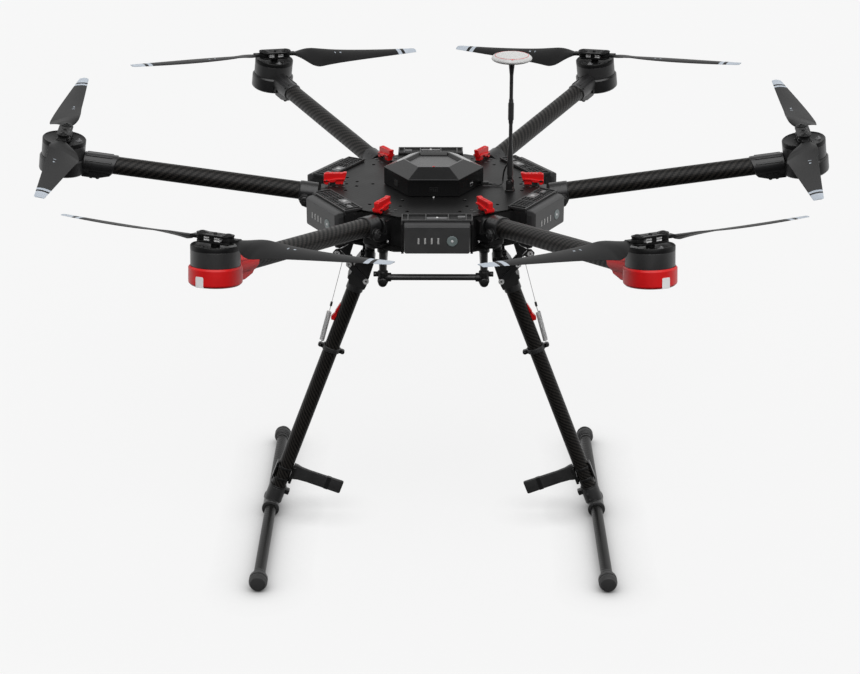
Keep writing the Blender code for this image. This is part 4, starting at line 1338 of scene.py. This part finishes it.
def make_gear_mount():
    """Cross member that the legs fold on, with its forks, hooks and bolts."""
    mount = Piece()
    for y_low, y_high in ((-36.0, -26.0), (26.0, 36.0)):
        mount.add(block((-122.0, y_low, -8.3), (122.0, y_high, 0.4), 0.8), BLACK)
    for x_low, x_high in ((-122.0, -82.0), (82.0, 122.0)):
        mount.add(block((x_low, -27.0, -8.3), (x_high, 27.0, 0.4), 0.8), BLACK)
    fork = [
        (90.0, -4.0), (108.0, -4.0), (110.0, -58.0), (113.0, -64.0), (109.0, -73.0), (97.0, -73.0),
        (91.0, -58.0),
    ]
    hook = [
        (112.0, -4.0), (122.0, -6.0), (132.0, -40.0), (143.0, -46.5), (151.0, -47.5), (156.0, -53.0),
        (154.0, -60.0), (147.0, -61.5), (140.0, -58.0), (134.0, -62.0), (130.0, -60.0), (127.0, -50.0),
    ]
    for azimuth in SIDES.values():
        place = turn(azimuth)
        for side in (-1, 1):
            near, far = span(side, 15.4, 19.2)
            mount.add(prism(fork, near, far, "Y", 0.7), BLACK, place)
            outer = span(side, 19.8, 23.6)
            mount.add(prism(hook, outer[0], outer[1], "Y", 0.7), SATIN, place)
            flip = facing(side)
            bolt_ring(place @ move(149.2, 0, -54.4) @ flip @ move(0, 23.5, 0), mount)
            clip = pipe([(137.0, 0, -56.0), (144.0, 0, -48.5)], 0.7, 8)
            mount.add(clip, BRIGHT, place @ move(0, side * 23.9, 0))
            mount.add(ring(3.0, 6.5, 19.0, 20.4, 0.4, "Y"), SATIN, place @ move(103.0, 0, -64.0) @ flip)
            stub = place @ move(99.0, side * 24.4, 0)
            mount.add(rod(6.2, -52.0, -6.0, 0.6), ANODISED, stub)
            mount.add(ring(5.0, 8.4, -58.0, -47.0, 0.8), BLACK, stub)
            mount.add(rod(4.4, 7.0, 13.5, 0.6, "X"), BLACK, stub @ move(0, 0, -52.5))
        mount.add(rod(3.0, -17.5, 17.5, 0.3, "Y"), ANODISED, place @ move(103.0, 0, -64.0))
    show_on_frame("gear_crossmember", mount, "black_plastic", "gear_mount")


def leg_fittings_mesh():
    """Bracket, lock link, clamps and skid joint of a leg, about its pivot."""
    bottom = -LEG_LENGTH
    leg = Piece()
    bracket = [
        (-13.0, 1.0), (-8.0, 7.0), (-3.0, 9.0), (4.0, 8.0), (9.0, 3.0), (14.0, -12.0), (15.0, -35.0),
        (17.5, -37.0), (17.5, -43.0), (14.0, -45.0), (13.0, -51.0), (-14.0, -53.0), (-15.0, -46.0),
    ]
    leg.add(prism(bracket, -14.4, 14.4, "Y", 1.0), SATIN)
    leg.add(ring(12.0, 13.6, -62.0, -50.0, 0.6), SATIN)
    upper = Vector((23.0, 0, -19.5))
    lower = Vector((-11.3, 0, -36.8))
    run = (upper - lower).normalized()
    across = Vector((-run.z, 0, run.x))
    for side in (-1, 1):
        near, far = span(side, 14.2, 18.0)
        link = []
        for centre, start in ((upper, 1), (lower, -1)):
            for step in range(7):
                angle = pi * step / 6
                point = centre + (across * cos(angle) + run * sin(angle)) * 4.6 * start
                link.append((point.x, point.z))
        leg.add(prism(link, near, far, "Y", 0.6), ANODISED)
        flip = facing(side)
        for centre in (upper, lower):
            bolt_ring(move(centre.x, 0, centre.z) @ flip @ move(0, 18.0, 0), leg)
    leg.add(ring(12.1, 14.9, MID_CLAMP - 4.0, MID_CLAMP + 4.0, 0.8), SATIN)
    for side in (-1, 1):
        spot = facing(side)
        leg.add(block((13.0, -3.5, MID_CLAMP - 3.6), (19.0, 3.5, MID_CLAMP + 3.6), 1.0), BLACK, spot)
        leg.add(rod(3.6, -3.5, 3.5, 0.6, "Y"), BLACK, spot @ move(18.5, 0, MID_CLAMP))
        leg.add(rod(1.4, -4.6, 4.6, 0.3, "Y"), ANODISED, spot @ move(18.5, 0, MID_CLAMP))
    leg.add(rod(14.4, bottom + 6.0, bottom + 34.0, 1.2), SATIN)
    leg.add(ring(12.0, 14.0, bottom + 33.0, bottom + 36.0, 0.5), BLACK)
    for z in (bottom + 14.0, bottom + 25.0):
        leg.add(cap_screw(2.2, 1.2, "Y"), ANODISED, turn(180) @ move(6.0, 13.0, z))
    leg.add(block((-20.5, -5.0, bottom + 24.0), (-12.0, 5.0, bottom + 33.0), 1.4), BLACK)
    sleeve = [
        (9.2, 24.0), (13.0, 24.0), (14.0, 23.0), (14.0, 19.0), (13.0, 18.0), (13.0, -18.0),
        (14.0, -19.0), (14.0, -23.0), (13.0, -24.0), (9.2, -24.0),
    ]
    form = bmesh.new()
    loops = []
    for i in range(40):
        angle = 2 * pi * i / 40
        loops.append([form.verts.new((r * cos(angle), h, r * sin(angle))) for r, h in sleeve])
    for i in range(40):
        first, second = loops[i], loops[(i + 1) % 40]
        for j in range(len(sleeve)):
            after = (j + 1) % len(sleeve)
            form.faces.new((first[j], first[after], second[after], second[j]))
    bmesh.ops.recalc_face_normals(form, faces=form.faces)
    leg.add(form, SATIN, move(0, 0, bottom))
    clamp = -400.0
    for x_low, x_high in ((-17.0, -12.6), (12.6, 15.4)):
        leg.add(block((x_low, -7.5, clamp - 15.0), (x_high, 7.5, clamp + 15.0), 1.0), BLACK)
    leg.add(ring(12.05, 13.4, clamp - 12.0, clamp - 8.0, 0.4), BLACK)
    leg.add(ring(12.05, 13.4, clamp + 8.0, clamp + 12.0, 0.4), BLACK)
    for tab in (
        [(11.0, -92.0), (12.4, -91.0), (15.6, -106.5), (14.0, -108.0), (11.0, -108.0)],
        [(11.0, -105.0), (13.4, -105.0), (18.6, -117.0), (16.8, -121.5), (11.0, -121.0)],
    ):
        leg.add(prism(tab, -4.0, 4.0, "Y", 0.6), RED)
    return leg.mesh("leg_fittings")


def skid_meshes():
    tube = Piece().add(rod(SKID_RADIUS, -SKID_HALF + 8, SKID_HALF - 8, 0.5, "Z", 48), SKID_TUBE)
    caps = Piece()
    profile = [
        (0, 276.0), (10.6, 276.0), (11.6, 275.4), (14.0, 269.6), (14.25, 267.8), (14.1, 266.6),
        (12.2, 266.2), (12.2, 263.4), (14.1, 263.0), (14.25, 262.0), (14.1, 256.5), (12.4, 254.0),
        (10.4, 252.6), (10.4, 250.0), (0, 250.0),
    ]
    for angle in (0, 180):
        caps.add(lathe(profile, 48), RUBBER, turn(angle, "X"))
        # Near-black ring in the cap's groove: painted shade.
        caps.add(ring(11.8, 12.6, 263.3, 266.0, 0.05, sides=48), SHADOW, turn(angle, "X"))
        caps.add(ring(9.0, 10.2, 243.0, 248.0, 0.6), RUBBER, turn(angle, "X"))
    return tube.mesh("skid_tube"), caps.mesh("skid_caps")


def spring_mesh():
    """Tension spring, crimp and wire, from the leg's outer lug up to the frame, in the leg's space."""
    bottom = Vector((18.5, 0, MID_CLAMP + 4.2))
    crimp = Vector((24.7, 0, -101.0))
    top = Vector((34.0, 0, -12.0))
    spring = Piece()
    heading = (crimp - bottom).normalized()
    across = Vector((0, 1, 0))
    other = heading.cross(across)
    coil = []
    turns = 30
    steps = 14
    start, end = bottom.lerp(crimp, 0.05), bottom.lerp(crimp, 0.84)
    for i in range(turns * steps + 1):
        angle = 2 * pi * i / steps
        coil.append(start.lerp(end, i / (turns * steps)) + (across * cos(angle) + other * sin(angle)) * 3.4)
    spring.add(pipe(coil, 0.72, 6), STEEL)
    hook = [bottom - heading, bottom + heading * 2.0, start + across * 2.0, start + across * 3.4]
    spring.add(pipe(smooth_path(hook, 4), 0.6, 8), STEEL)
    spring.add(pipe([end + across * 3.0, end + heading * 4.0, crimp], 0.6, 8), STEEL)
    rise = (top - crimp).normalized()
    spring.add(pipe([crimp, crimp + rise * 7.0], 1.9, 12), ANODISED)
    wire_points = [(crimp + rise * 6.0).lerp(top, k / 24) for k in range(25)]
    spring.add(pipe(wire_points, 0.45, 8), STEEL)
    return spring.mesh("spring")


def antenna_mesh():
    """Flat antenna paddle with a shaped root, about its place on the leg."""
    antenna = Piece()
    rings = []
    for x, half_z, half_y in (
        (-13.0, 13.4, 4.0), (-18.0, 13.2, 4.0), (-26.0, 11.4, 3.4), (-40.0, 10.8, 2.8),
        (-70.0, 11.0, 2.8), (-95.0, 11.4, 2.8), (-97.4, 10.9, 2.6), (-98.0, 9.8, 2.0),
    ):
        corner = 1.2
        rings.append(
            [
                (x, half_y, half_z - corner), (x, half_y - corner, half_z),
                (x, -half_y + corner, half_z), (x, -half_y, half_z - corner),
                (x, -half_y, -half_z + corner), (x, -half_y + corner, -half_z),
                (x, half_y - corner, -half_z), (x, half_y, -half_z + corner),
            ]
        )
    antenna.add(skinned(rings), SATIN)
    antenna.add(block((-77.0, -2.95, -11.15), (-70.0, 2.95, 11.15), 0.3), BLACK)
    return antenna.mesh("antenna")


def make_landing_gear():
    make_gear_mount()
    tube = Piece().add(rod(LEG_RADIUS, -LEG_LENGTH + 8.0, -40.0, 0.4, "Z", 56), LEG_TUBE).mesh("leg_tube")
    fittings = leg_fittings_mesh()
    skid, caps = skid_meshes()
    spring = spring_mesh()
    antenna = antenna_mesh()
    for name in SIDES:
        body = "leg_" + name
        place = leg_space(name)
        foot = place @ metres(z=-LEG_LENGTH)
        show("leg_tube_" + name, tube, place, body, "carbon_tube", body)
        show("leg_fittings_" + name, fittings, place, body, "black_plastic")
        show("skid_tube_" + name, skid, foot @ turn(-90, "X"), body, "carbon_tube", "skid_" + name)
        show("skid_caps_" + name, caps, foot @ turn(-90, "X"), body, "cable_rubber")
        level = place @ metres(z=-ANTENNA_DROP)
        show("antenna_paddle_" + name, antenna, level, body, "black_plastic", "antenna_" + name)
        piece = bpy.data.objects.new("spring_" + name, spring.copy())
        bpy.context.scene.collection.objects.link(piece)
        piece.matrix_world = place
        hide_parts("gear_spring_" + name)
        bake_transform(piece)


def make_payload_frame():
    """Rails under the frame on their posts, with clamps, knobs and end caps."""
    payload = Piece()
    fittings = Piece()
    for side in (-1, 1):
        payload.add(rod(4.75, -160.0, 160.0, 0.4, "Y", 40), ANODISED, move(side * RAIL_X, 0, RAIL_Z))
        for end in (-1, 1):
            cap = [(0, 165.0), (5.6, 165.0), (6.6, 164.2), (6.6, 157.8), (5.8, 157.0), (0, 157.0)]
            rail_end = move(side * RAIL_X, 0, RAIL_Z) @ facing(end)
            fittings.add(lathe(cap, 40, 0.0, "Y"), BLACK, rail_end)
            post = move(side * RAIL_X, end * RAIL_Y, 0)
            payload.add(rod(5.5, RAIL_Z + 2.0, 0.3, 0.4), ANODISED, post)
            fittings.add(ring(5.2, 8.0, -6.0, 0.4, 0.8), BLACK, post)
            fittings.add(ring(4.8, 8.0, -6.0, 6.0, 0.8, "Y"), BLACK, post @ move(0, 0, RAIL_Z))
            fittings.add(ring(5.3, 7.8, RAIL_Z + 6.0, RAIL_Z + 14.0, 0.8), BLACK, post)
            knob = post @ move(0, 0, RAIL_Z + 9.0) @ facing(side)
            fittings.add(block((6.0, -3.6, -3.0), (10.0, 3.6, 3.0), 0.6), BLACK, knob)
            fittings.add(rod(3.9, 9.0, 14.0, 0.5, "X", 24), BLACK, knob)
            fittings.add(ring(4.7, 6.6, -12.5, -6.5, 0.6, "X"), BLACK, knob @ move(0, 0, -5.0))
    for end in (-1, 1):
        payload.add(rod(4.7, -RAIL_X, RAIL_X, 0.4, "X", 40), ANODISED, move(0, end * RAIL_Y, RAIL_Z + 4.0))
    show_on_frame("payload_rails", payload, "rail_metal", "payload_frame")
    show_on_frame("payload_clamps", fittings, "black_plastic")


make_studio()
make_plates()
make_bays()
make_module()
make_batteries()
make_levers()
make_arms()
make_mast()
make_cable()
make_landing_gear()
make_payload_frame()
